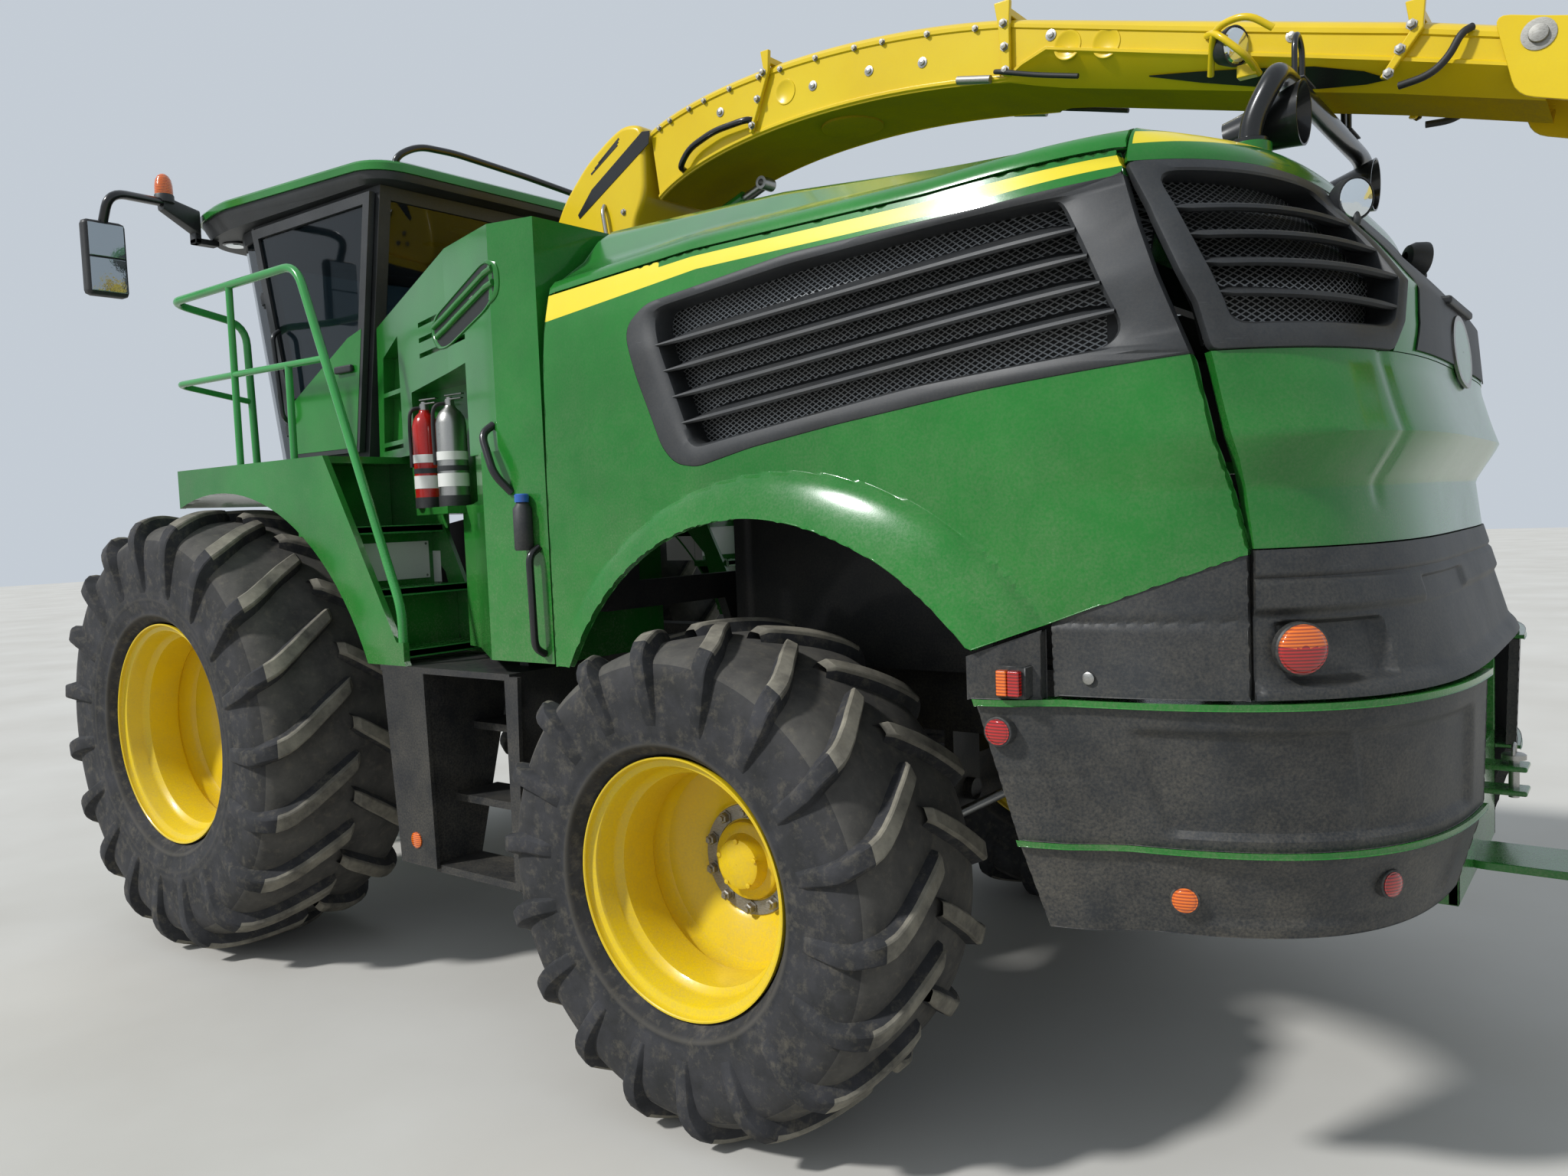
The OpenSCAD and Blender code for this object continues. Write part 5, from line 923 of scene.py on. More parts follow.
def skirt_point(s, z, d):
    """Point of the rear skirt: s from -1 to 0 runs back over the mudguard, whose flare dies away, and
    from 0 to 1 round the tail to the hitch post."""
    x0 = -1133 + 166 * (z - 830) / (ARCH_END_Z - 830)
    first = np.interp(z, [830, 1441], [20.5, 12])
    last = np.degrees(np.arccos(np.clip((446 / (half_width(z) - d)) ** 2, 0, 1)))
    x1 = CURVE - reach(z, 0) * np.sqrt(np.sin(np.radians(first)))
    x = x0 + (x1 - x0) * np.clip(s + 1, 0, 1)
    lift = FLARE * np.interp(s + 1, [0, 0.12, 0.45, 0.8, 1], [1, 1, 0.75, 0.2, 0])
    guard = np.stack([x, body_y(x, z, d) + lift, z * 1.0], -1)
    around = tail_point(first + (last - first) * np.clip(s, 0, 1), z, d)
    return np.where((s < 0)[..., None], guard, around)


def skirt_sheet(name, heights, depth, side):
    """Black skin of the rear skirt between two heights; depth gives its recesses by share and height."""
    s, z = np.meshgrid(np.concatenate([np.linspace(-1, 0, 24)[:-1], np.linspace(0, 1, 110)]), heights,
                       indexing="ij")
    outer, inner = sided(skirt_point(s, z, depth(s, z)), skirt_point(s, z, z * 0 + PANEL_T), side)
    return shell(name, outer, inner, "black_plastic")


# Round reflectors in the skirt: plan angle, height and look
SKIRT_REFLECTORS = ((23.8, 933, "lamp_orange"), (57.3, 964, "lamp_red"))


def rear_skirt(side):
    """Black mudguard and skirt round the rear, its lamp seats, and the two green edge bars."""
    def upper(s, z):
        """Recess of the upper part with a rib in its middle, and a groove on the mudguard."""
        panel = 16 * dent(s, z, 0.06, 0.93, 1100, 1392, 0.03, 26)
        rib = 6 * np.exp(-((s - 0.5) / 0.012) ** 2) * panel / 16
        return np.maximum(panel - rib, 3 * np.exp(-((z - 1250) / 5) ** 2) * (s < -0.1))
    def lower(s, z):
        """Recess of the lower part."""
        return 8 * dent(s, z, 0.1, 0.9, 862, 1036, 0.03, 18)
    made = [skirt_sheet(f"skirt_upper_{side}", np.linspace(1075, 1440, 40), upper, side),
            skirt_sheet(f"skirt_lower_{side}", np.linspace(832, 1061, 20), lower, side)]
    x = np.linspace(-974, -1156, 22)[:, None]
    z = 1456 + (panel_bottom(x) - 20 - 1456) * np.linspace(0, 1, 12)[None, :]
    x = x + z * 0
    lift = FLARE * np.interp(-x, [980, 1060, 1158], [1, 0.8, 0.25])
    def grid(d):
        """The mudguard's rear wall, d inside its skin."""
        return np.stack([x, body_y(x, z, d) + lift, z], -1)
    outer, inner = sided(grid(0), grid(PANEL_T), side)
    made.append(shell(f"guard_{side}", outer, inner, "black_plastic"))
    y = span(side, 1402, 1477)
    made += [lathe("guard_seat", (-1058, side * 1446, 1374), (0, side, 0),
                   [(0, 40), (38, 40), (40, 38), (40, 0)], "black_plastic"),
             box("marker_seat", (-1136, y[0], 1462), (-1056, y[1], 1547), "black_plastic")]
    for angle, z, _ in SKIRT_REFLECTORS:
        p, n = on_tail(angle, z, side)
        made.append(lathe("seat", p - 14 * n, n, [(0, 38), (20, 38), (22, 36), (22, 0)], "black_plastic"))
    for piece in made:
        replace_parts(soften(piece, 3), "rear_skirt")
    for z0, z1 in ((1062, 1074), (1441, 1455)):
        s, z = np.meshgrid(np.concatenate([np.linspace(-1, 0, 20)[:-1], np.linspace(0, 1, 70)]), [z0, z1],
                           indexing="ij")
        outer, inner = sided(skirt_point(s, z, z * 0.0 - 14), skirt_point(s, z, z * 0.0 + 60), side)
        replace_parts(soften(shell(f"bar_{z0}_{side}", outer, inner, "body_paint"), 3), "skirt_bars")


def on_tail(angle, z, side):
    """Point on the tail's skin and the outward direction there."""
    p, a, b = (tail_point(np.array(float(angle + k)), np.array(float(z))) for k in (0, -0.5, 0.5))
    n = np.array([b[1] - a[1], a[0] - b[0], 0.0])
    n = n / np.linalg.norm(n)
    if np.dot(n, p - np.array([CURVE, 0, z])) < 0:
        n = -n
    return p * [1, side, 1], n * [1, side, 1]


def hitch():
    """Green posts, cross plate and rounded drawbar at the rear, with the pin, its grip and a bush."""
    made = []
    for side in (1, -1):
        y = span(side, 420, 440)
        made.append(box("post", (-1975, y[0], 760), (-1782, y[1], 1455), "body_paint"))
    made.append(box("hitch_plate", (-1975, -440, 760), (-1945, 440, 1130), "body_paint"))
    outline = rounded([[-1950, -130], [-2360, -130], [-2360, 130], [-1950, 130]], 60, 8)
    n = len(outline)
    pts = np.array([[p[0], p[1], z] for z in (790, 815) for p in outline])
    i = np.arange(n)
    faces = [np.stack([i, (i + 1) % n, (i + 1) % n + n, i + n], -1), i[None, ::-1], n + i[None, :]]
    plate_ = build("drawbar", place(pts), faces, "body_paint")
    made.append(plate_)
    for z in (1010, 1085):
        made.append(box("hitch_ear", (-2110, -55, z), (-1970, 55, z + 16), "body_paint", edge=6))
    for piece in made:
        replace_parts(soften(piece, 3) if piece is plate_ else piece, "skirt_bars")
    lathe("hitch_bush", (-2290, 0, 788), (0, 0, 1), [(0, 20), (0, 46), (30, 46), (32, 44), (32, 20)],
          "bare_steel")
    lathe("pin", (-2070, 0, 996), (0, 0, 1),
          [(0, 0), (0, 15), (118, 15), (120, 34), (134, 34), (138, 28), (138, 0)], "bare_steel")
    tube("pin_grip", [(-2070, -26, 1128), (-2070, -26, 1162), (-2070, 26, 1162), (-2070, 26, 1128)], 6,
         "bare_steel")


def dome(name, at, n, r, height, look, body="chassis", base=0.0):
    """Lamp lens: a low dome of radius r standing on a point, height at its middle."""
    s = np.linspace(0, math.pi / 2, 9)
    profile = [(base, r + 4), (base + height * 0.25, r + 4), (base + height * 0.3, r)]
    profile += [(base + height * (0.3 + 0.7 * math.sin(v)), r * math.cos(v)) for v in s[1:]]
    return lathe(name, at, n, profile, look, body, 40, 50)


def lamps():
    """Tail lamps, orange above and red below, with the reflectors and the marker lamps of the mudguards."""
    made = []
    for side in (1, -1):
        p, n = on_tail(42, 1588, side)
        housing = lathe("lamp_housing", p - 4 * n, n, [(0, 66), (22, 66), (26, 62), (26, 58)],
                        "black_plastic")
        lens_ = dome("lamp_lens", p, n, 57, 18, "lamp_red", base=18)
        tint(lens_, "lamp_orange", face_centres(lens_)[:, 2] > 1594)
        made += [housing, lens_]
        for angle, z, look in SKIRT_REFLECTORS:
            p, n = on_tail(angle, z, side)
            made.append(dome("reflector", p + 8 * n, n, 28, 8, look))
        made.append(dome("guard_reflector", np.array([-1058, side * 1486, 1374.0]), (0, side, 0), 30, 8,
                         "lamp_red"))
        lo, hi = span(side, 1478, 1502)
        made += [box("marker_orange", (-1094, lo, 1470), (-1064, hi, 1539), "lamp_orange", edge=5),
                 box("marker_red", (-1129, lo, 1470), (-1096, hi, 1539), "lamp_red", edge=5)]
    for piece in made:
        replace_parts(piece, "lamps")


def hoop():
    """Black tube hoop that the spout rests on, with its flanges, guide loops and pads."""
    half = [(-1480, 645, 2968), (-1490, 645, 3040), (-1545, 622, 3150), (-1545, 560, 3174)]
    path = half + [(x, -y, z) for x, y, z in reversed(half)]
    made = [tube("hoop", path, 32, "black_gloss_paint", bend=90, count=28)]
    for side in (1, -1):
        made.append(lathe("hoop_flange", (-1480, side * 645, 2965), (0, 0, 1),
                          [(0, 0), (0, 52), (12, 52), (14, 49), (14, 0)], "black_gloss_paint", count=40))
        loop = ((-30, 3180), (-30, 3320), (30, 3350), (60, 3310), (60, 3180))
        path = [(-1545, side * 330 + off, z) for off, z in loop]
        made.append(tube("guide", path, 9, "black_gloss_paint", bend=30))
    for y in (330, -330):
        made.append(box("guide_pad", (-1575, y - 70, 3201), (-1515, y + 70, 3207), "black_plastic", edge=2))
    for piece in made:
        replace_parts(piece, "spout_rest")


def horns():
    """Two black exhaust outlets: a pipe that widens to its mouth, cut on a slant. A ring's point is the
    axis at share k, plus r(k) round it, plus r(k) * cos * 0.23 k along it; a second wall runs back inside."""
    turn = np.linspace(0, 2 * math.pi, 64, endpoint=False)[None, :, None]
    t = np.linspace(0, 1, 20)
    k = np.concatenate([t, t[::-1]])[:, None, None]
    first = np.concatenate([np.full(20, 54.0), np.full(20, 48.0)])[:, None, None]
    r = first + 36 * k ** 1.25
    for side in (1, -1):
        a, b = np.array([-1385, side * 520, 3024.0]), np.array([-1600, side * 520, 3062.0])
        length = np.linalg.norm(b - a)
        axis = (b - a) / length
        up = np.array([axis[2], 0, -axis[0]])
        rows = a + axis * length * k + r * (np.cos(turn) * up + np.sin(turn) * np.array([0, 1, 0])) \
            + r * np.cos(turn) * 0.23 * k * axis
        made = [strip_mesh("horn", rows, "black_gloss_paint", wrap=True, flip=True, angle=50),
                lathe("horn_foot", (-1462, side * 520, 2965), (0, 0, 1), [(0, 0), (0, 40), (50, 40), (50, 0)],
                      "black_gloss_paint")]
        for piece in made:
            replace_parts(piece, "exhausts")


# Wheels: end, station, distance from the centre line, radius over the lugs, width, radius of the rim, height
# and number of lugs on one shoulder, and the rim's disc, hub and bore
WHEELS = (("front", 3165, 1305, 1045, 780, 520, 56, 19, -60, 170, 101),
          ("rear", 0, 1320, 812, 650, 416, 46, 18, -100, 130, 71))


def studs(name, centre, radius, count, profile, look, body, sides=6):
    """Ring of small turned parts round a wheel's axle, each a [sideways, radius] profile."""
    x, y, z, side = centre
    profile = np.asarray(profile, float)
    turn = np.linspace(0, 2 * math.pi, sides, endpoint=False)[:, None]
    one = np.stack([profile[:, 1] * np.sin(turn), np.broadcast_to(profile[:, 0], (sides, len(profile))),
                    profile[:, 1] * np.cos(turn)], -1)
    spots = np.arange(count) * 2 * math.pi / count
    at = np.stack([radius * np.sin(spots), spots * 0, radius * np.cos(spots)], -1)
    points = (one[None] + at[:, None, None]) * [1, side, 1] + [x, y, z]
    faces = [quads(sides, len(profile), k * sides * len(profile), wrap_m=True,
                   flip=side > 0) for k in range(count)]
    return build(name, place(points.reshape(-1, 3)), np.concatenate(faces), look, body, 30)


def rim(name, centre, width, r, disc, hub, bore, body):
    """Deep rim: a dished disc, a stepped barrel and rolled flanges as one closed profile, with ten nuts
    on a bare ring and a domed cap."""
    half = width * 0.43
    line = [(disc + 84, 1), (disc + 84, hub - 62), (disc + 78, hub - 48), (disc + 40, hub - 34),
            (disc + 36, hub - 8),
            (disc + 30, hub), (disc + 9, hub + 6), (disc + 9, hub + 62), (disc + 20, hub + 76),
            (disc + 52, r - 86), (disc + 70, r - 72), (half - 282, r - 66), (half - 268, r - 68),
            (half - 254, r - 80), (half - 240, r - 82), (half - 132, r - 75), (half - 119, r - 72),
            (half - 104, r - 53), (half - 92, r - 46), (half - 36, r - 40), (half - 27, r - 34),
            (half - 22, r - 15),
            (half - 14, r - 10), (half - 3, r - 9), (half, r - 6), (half, r - 1), (half - 3, r),
            (half - 22, r - 3), (half - 26, r - 26), (half - 95, r - 32), (half - 120, r - 62),
            (half - 250, r - 70),
            (half - 275, r - 52), (95 - half, r - 32), (26 - half, r - 26), (22 - half, r - 3), (2 - half, r),
            (-half, r - 2), (-half, r - 10), (20 - half, r - 15), (28 - half, r - 38), (95 - half, r - 44),
            (disc + 46, r - 58), (disc + 36, r - 68), (disc - 8, hub + 66), (disc - 10, hub),
            (disc - 108, hub - 4),
            (disc - 110, hub - 10), (disc - 110, bore), (disc - 4, bore), (disc - 4, 1)]
    made = [revolve(name, line, centre, "yellow_paint", body, 128, 32),
            revolve("ring",
                    [(disc + 9, hub + 9), (disc + 13, hub + 10), (disc + 13, hub + 56), (disc + 9, hub + 58)],
                    centre, "dusty_steel", body, 96, 30),
            studs("nuts", centre, hub + 33, 10,
                  [(disc + 12, 25), (disc + 18, 25), (disc + 18, 19), (disc + 36, 18),
                  (disc + 39, 14), (disc + 39, 11), (disc + 46, 10), (disc + 46, 0.5)], "dusty_steel", body),
            studs("cap_screws", centre, hub - 52, 5, [(disc + 76, 9), (disc + 86, 9), (disc + 88, 0.5)],
                  "yellow_paint", body)]
    for piece in made:
        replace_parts(piece, name)


def roof_loop(share, rise, low):
    """Plan outline of the roof drawn in to a share of its size, at its edge's height plus rise or level."""
    half = [(2200, 900), (2300, 985), (3600, 1010), (3900, 960), (4080, 800), (4140, 500)]
    outline = rounded(half + [(x, -y) for x, y in reversed(half)], 90, 6)
    x, y = 3150 + (outline[:, 0] - 3150) * share, outline[:, 1] * share
    edge = np.interp(x, [2200, 2700, 3300, 4140], [3600, 3640, 3652, 3640])
    z = edge + rise if low is None else x * 0 + low
    return np.stack([x, y, z], -1)


def roof():
    """Crowned green skin whose thin edge stands on a black moulded rim with a flat underside."""
    under = [(0.05, 0, 3566), (0.84, 0, 3566), (0.88, 0, 3562), (0.955, 0, 3562), (0.978, -34, None),
             (0.99, -6, None), (0.99, 0, None)]
    over = [(0.975, 0, None), (1.0, 2, None), (1.0, 34, None), (0.994, 44, None), (0.965, 56, None),
            (0.8, 84, None), (0.5, 100, None), (0.04, 108, None)]
    made = [strip_mesh("roof_rim", [roof_loop(*s) for s in under], "black_plastic", wrap=True),
            strip_mesh("roof_skin", [roof_loop(*s) for s in over], "body_paint", wrap=True)]
    for side in (1, -1):
        for x in (3050, 3850):
            at = (x, side * 780, 3563)
            made.append(lathe("work_lamp", at, (0, 0, -1), [(-3, 66), (6, 66), (9, 60), (9, 0)],
                              "black_gloss_paint"))
            made.append(lathe("work_lens", (x, side * 780, 3554), (0, 0, -1), [(0, 52), (5, 46), (7, 0)],
                              "lamp_clear"))
    made.append(tube("roof_rail", [(2262, 862, 3640), (2238, 848, 3690), (2230, 740, 3747), (2230, 540, 3758),
                                   (2230, 106, 3738), (2230, -420, 3700), (2240, -560, 3660),
                                   (2250, -600, 3630)],
                     16, "black_gloss_paint", bend=60))
    for piece in made:
        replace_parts(piece, "cab_roof")


def mirrors():
    """Mirror arms that taper outwards, with a stay, a two-part mirror head and an orange beacon."""
    made = []
    for side in (1, -1):
        for low, high in (((3830, 880, 3530), (3895, 1010, 3560)), ((3830, 976, 3530), (3895, 1010, 3695))):
            y = span(side, low[1], high[1])
            made.append(box("bracket", (low[0], y[0], low[2]), (high[0], y[1], high[2]), "black_plastic",
                            edge=6))
        f = np.linspace(0, 1, 12)
        centre = np.stack([3862 - 112 * f, side * (985 + 235 * f), 3640 + 46 * f], -1)
        rows = []
        for c, k in zip(centre, f):
            wide, tall = 46 - 12 * k, 62 - 26 * k
            section = rounded([(-wide, -tall), (wide, -tall), (wide, tall), (-wide, tall)], 16, 4)
            rows.append(c + np.stack([section[:, 0], section[:, 0] * 0, section[:, 1]], -1))
        n = len(rows[0])
        idx = np.arange(len(rows) * n).reshape(-1, n)
        made.append(build("mirror_arm", place(np.concatenate(rows)),
                          [quads(len(rows), n, wrap_n=True, flip=side < 0), idx[:1, ::-side],
                           idx[-1:, ::side]], "black_plastic"))
        made.append(tube("mirror_stay",
                         [(3750, side * 1205, 3690), (3560, side * 1555, 3640), (3640, side * 1560, 3500)],
                         22, "black_gloss_paint", bend=120, count=20))
        made.append(lathe("beacon_base", (3750, side * 1200, 3690), (0, 0, 1),
                          [(0, 0), (0, 47), (34, 47), (40, 44), (40, 0)], "black_plastic"))
        made.append(lathe("beacon_dome", (3750, side * 1200, 3728), (0, 0, 1),
                          [(0, 42), (8, 44), (46, 43), (76, 38), (96, 27), (106, 14), (109, 0.5)],
                          "lamp_orange"))
        y = span(side, 1460, 1660)
        made.append(box("mirror_head", (3612, y[0], 3150), (3682, y[1], 3515), "black_plastic", edge=26))
        made.append(box("mirror_face", (3604, y[0] + 18, 3170), (3614, y[1] - 18, 3330), "mirror", edge=3))
        made.append(box("mirror_face_top", (3604, y[0] + 18, 3338), (3614, y[1] - 18, 3496), "mirror",
                        edge=3))
    for piece in made:
        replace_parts(piece, "mirrors")


def handrails():
    """Green tube rails round the decks, down beside the steps."""
    made = []
    for side in (1, -1):
        def rod(name, points, r, bend=100):
            """Rail of radius r through points given for the left side."""
            made.append(tube(name, [(x, side * y, z) for x, y, z in points], r, "bright_green", bend=bend,
                             count=20))
        rod("hand_loop", [(3405, 985, 2290), (3405, 1000, 3040), (3420, 1366, 3113), (2290, 1366, 3120),
                          (1735, 1366, 1780), (1675, 1366, 1640), (1675, 1366, 1500)], 19)
        rod("hand_post", [(2860, 1366, 2290), (2860, 1366, 3110)], 16)
        rod("hand_post_low", [(2400, 1366, 2290), (2400, 1366, 2700)], 16)
        rod("hand_mid", [(3405, 998, 2650), (3408, 1366, 2712), (2114, 1366, 2700)], 15, 60)
    for piece in made:
        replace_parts(piece, "handrails")


def extinguishers():
    """Two fire extinguishers: a red one ahead and a bare steel one behind it, with black bands."""
    for x, y, r, look in ((1905, 1032, 57, "red_paint"), (1692, 1058, 64, "bare_steel")):
        at = (x, y, 2050)
        wall = [(0, 0), (0, r - 6), (6, r), (352, r), (380, r * 0.9), (402, r * 0.7), (418, r * 0.42),
                (428, 22), (428, 0)]
        made = [lathe("bottle", at, (0, 0, 1), wall, look, count=48)]
        for low, high, tone in ((-1, 46, "black_plastic"), (150, 172, "black_plastic"), (84, 140, "label"),
                                (196, 232, "label")):
            made.append(lathe("band", (x, y, 2051), (0, 0, 1),
                              [(low, r), (low, r + 1.6), (high, r + 1.6), (high, r)], tone, count=48))
        made += [lathe("valve", (x, y, 2476), (0, 0, 1),
                       [(0, 0), (0, 20), (26, 20), (26, 13), (38, 13), (38, 0)], "bare_steel"),
                 box("lever", (x - 90, y - 9, 2520), (x + 24, y + 9, 2526), "bare_steel", edge=2),
                 box("grip", (x - 84, y - 9, 2502), (x + 20, y + 9, 2508), "bare_steel", edge=2),
                 tube("nozzle_hose", [(x + 14, y + 6, 2490), (x + r * 0.6, y + r * 0.9, 2482),
                                      (x + r * 0.8, y + r * 0.85, 2400), (x + r * 0.82, y + r * 0.8, 2230)],
                                      8, "hose", bend=40)]
        for piece in made:
            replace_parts(piece, "extinguishers")


def console_face(x):
    """Distance of the console's slanting outer face from the centre line at a station."""
    return np.interp(x, [750, 1000, 1500, 2480], [1380, 1380, 1200, 880])


# Treads between the lower steps and the deck, as in the CAD: height, rear edge and front edge
TREADS = ((1461, 1690, 1920), (1711, 1834, 2080), (1976, 1986, 2380))
DECK = 2290


def console_details():
    """Cooling opening with two bars in the console's slanting face, blank plates, grab handles and bottle."""
    outline = rounded([(1655, 2772), (1600, 2832), (1040, 2932), (965, 2905), (965, 2800), (1040, 2762),
                       (1480, 2692), (1590, 2700)], 70, 6)
    f = np.linspace(0, 1, 9)[1:]
    centre = outline.mean(axis=0)
    for side in (1, -1):
        def at(points, d):
            """Side-view points laid on the console's face, d outside it."""
            x, z = points[..., 0], points[..., 1]
            return np.stack([x, side * (console_face(x) + d), z], -1)
        steps = ((1.07, -4), (1.07, 3), (1.05, 6), (1.0, 6), (0.98, 1))
        rim_ = [at(centre + (outline - centre) * s, d) for s, d in steps]
        build("opening_rim", place(np.array(rim_).reshape(-1, 3)),
              quads(5, len(outline), wrap_n=True, flip=side > 0), "body_paint")
        # inside the rim, near-black rings fill the opening: painted shade
        dark = [at(centre + (outline - centre) * s, 1.0) for s in f]
        build("opening_painted_shade", place(np.array(dark).reshape(-1, 3)),
              quads(8, len(outline), wrap_n=True, flip=side < 0), "dark_void")
        for k in range(2):
            ends = np.array([[1630 - 30 * k, 2790 - 44 * k], [972, 2898 - 52 * k]])
            path = at(ends[0] + (ends[1] - ends[0]) * np.linspace(0, 1, 12)[:, None], 4)
            tube("opening_bar", path, 13, "body_paint", bend=10)
        for x, z in ((1180, 2820), (1420, 2776)):
            p = at(np.array([[x, z]]), -4)[0]
            lathe("fitting", p, (0, side, 0), [(0, 15), (6, 15), (8, 9), (14, 9), (14, 0)], "bare_steel",
                  count=12)
        grip = at(np.array([[1030.0, 2335], [1046, 2300], [968, 2148], [935, 2080]]), 0)
        grip[1:3, 1] += side * 52
        tube("grab", grip, 15, "black_gloss_paint", bend=40)
        tube("grab_low", [(800, side * 1382, 1876), (806, side * 1424, 1850), (800, side * 1424, 1516),
                          (796, side * 1382, 1490)],
             14, "black_gloss_paint", bend=34)
        lathe("bottle_drain", (850, side * 1408, 1868), (0, 0, 1),
              [(0, 0), (0, 30), (6, 34), (150, 34), (168, 22),
                       (176, 20), (176, 0)], "black_plastic")
        lathe("bottle_cap", (850, side * 1408, 2042), (0, 0, 1),
              [(0, 0), (0, 26), (26, 26), (30, 22), (30, 0)], "blue")
        lo, hi = span(side, 905, 908)
        box("plate_blank", (2020, lo, 1716), (2300, hi, 1858), "label", edge=1)
        lathe("step_reflector", (1634, side * 1385, 689), (0, side, 0), [(0, 33), (5, 33), (9, 26), (9, 0)],
              "lamp_orange")
        lo, hi = span(side, 910, 1378)
        for z, x0, x1 in TREADS:
            # nosing in a lighter green than the tread: painted sunlight on the step's edge
            box("tread_nose_painted_highlight", (x0 - 3, lo, z - 32), (x0 + 16, hi, z + 3), "bright_green", edge=3)
            for k in range(9):
                y = lo + 30 + (hi - lo - 60) * k / 8
                box("tread_bar", (x0 + 24, y - 5, z), (x1 - 14, y + 5, z + 4), "body_paint", edge=0)


def cab_details():
    """Painted lower corner of the door, pale seals inside the rear window, pillar trim and seat."""
    plate("door_panel", [(2578, 2362), (2484, 2915), (2600, 2884), (3049, 2654), (3146, 2603), (3118, 2362)],
          934.5, 938, "body_paint", "door", 1)
    for side in (1, -1):
        tube("pale_seal", [(2566, side * 822, 2400), (2381, side * 822, 3470)], 13, "cream", bend=10)
        tube("pillar_trim", [(3148, side * 902, 2300), (3438, side * 902, 3550)], 6, "bare_steel", bend=10)
    tube("pale_bar", [(2386, 470, 3440), (2386, -600, 3440)], 13, "cream", bend=10)
    tube("door_grab", [(3130, 945, 2520), (3130, 985, 2550), (3180, 985, 2960), (3182, 945, 2990)], 12,
         "black_gloss_paint", "door", bend=30)
    box("door_handle", (2560, 938, 2720), (2700, 960, 2756), "black_plastic", "door", edge=8)
    shape = rounded([(2660, 2670), (2575, 3050), (2560, 3380), (2590, 3470), (2660, 3470), (2700, 3380),
                     (2720, 3050), (2790, 2690)], 60)
    seat = plate("seat_back", shape, -235, 235, "cab_trim", edge=30)
    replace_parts(seat, "cab_interior")
    for low, high in (((2720, -265, 2560), (3180, 265, 2700)), ((2740, -180, 2290), (3040, 180, 2556)),
                      ((2700, -470, 2290), (3250, -300, 2930)), ((3500, -70, 2290), (3620, 70, 2312))):
        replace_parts(box("seat_part", low, high, "cab_trim", edge=24), "cab_interior")
    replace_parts(tube("column", [(3556, 0, 2300), (3330, 0, 3050)], 38, "cab_trim", bend=10), "cab_interior")
    turn = np.linspace(0, 2 * math.pi, 41)
    c, s = math.cos(math.radians(17)), math.sin(math.radians(17))
    ring = np.stack([3330 + 185 * np.cos(turn) * c - 15 * s, 185 * np.sin(turn),
                     3062 + 185 * np.cos(turn) * s + 0 * turn], -1)
    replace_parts(tube("steering_wheel", ring, 15, "cab_trim", bend=4), "cab_interior")


def bezier(a, b, c, d, t):
    """Cubic curve through a and d, drawn towards b and c."""
    a, b, c, d = (np.asarray(p, float) for p in (a, b, c, d))
    t = t[:, None]
    return a * (1 - t) ** 3 + 3 * b * t * (1 - t) ** 2 + 3 * c * t * t * (1 - t) + d * t ** 3


def spout_line(a, b, c, d, back, end, count):
    """Cubic curve of count points from a to d, a straight run back, and the corner at the end."""
    t = np.linspace(0, 1, count)
    more = np.linspace(0, 1, 12)[1:, None]
    return np.vstack([bezier(a, b, c, d, t), np.array(d) + (np.array(back) - d) * more, [end]])


def spout_lines(count):
    """Top and bottom lines of the spout's arm in side view, at the same shares of its length."""
    return (spout_line((1235, 3735), (950, 3850), (200, 3900), (-530, 3725), (-1850, 3350), (-2160, 3250),
                       count),
            spout_line((1190, 3400), (950, 3560), (200, 3650), (-608, 3474), (-1760, 3172), (-2160, 3055),
                       count))


def fold_share(p):
    """How much of the arm's side, behind the middle collar, slopes inwards to the floor of the duct."""
    return float(np.interp(p[0], [-2160, -1850, -700, -530], [0.30, 0.30, 0.44, 0.0]))


def floor_half(k):
    """Half width of the duct's floor for a share of its side that slopes."""
    return 225 - 78 * min(1, k / 0.3)


def spout_duct():
    """Curved duct: straight sides with a rolled top edge and a lower flange, then a tray whose lower sides
    slope inwards. Each station is one closed section between the top and the bottom line."""
    top, low = spout_lines(34)
    stations = []
    for p, q in zip(top, low):
        tall = np.linalg.norm(p - q)
        up = (p - q) / tall
        k = fold_share(q)
        edge = floor_half(k)
        section = np.array([[edge - 40, 6], [edge - 12, 2], [edge, 10],
                            [edge + (225 - edge) * 0.9, tall * k * 0.94],
                            [226, tall * k + 4], [234, tall * k + 10], [234, tall * k + 20],
                            [225, tall * k + 26],
                            [225, tall * 0.75], [225, tall - 52], [231, tall - 48], [231, tall - 34],
                            [217, tall - 18], [195, tall - 6], [165, tall]])
        section = np.vstack([section, section[::-1] * [-1, 1]])
        stations.append([[q[0] + up[0] * h, y, q[1] + up[1] * h] for y, h in section])
    stations = np.array(stations)
    m, n = stations.shape[:2]
    made = [build("spout_duct", place(stations.reshape(-1, 3)), [quads(m, n, wrap_n=True)], "yellow_paint",
                  "spout", 24)]
    # the floor of the duct seen from below, dull and dusty; its darker yellow is painted shade
    tint(made[0], "shaded_dusty_yellow", np.tile(np.isin(np.arange(n), (0, n - 2, n - 1)), m - 1))
    return top, low, made


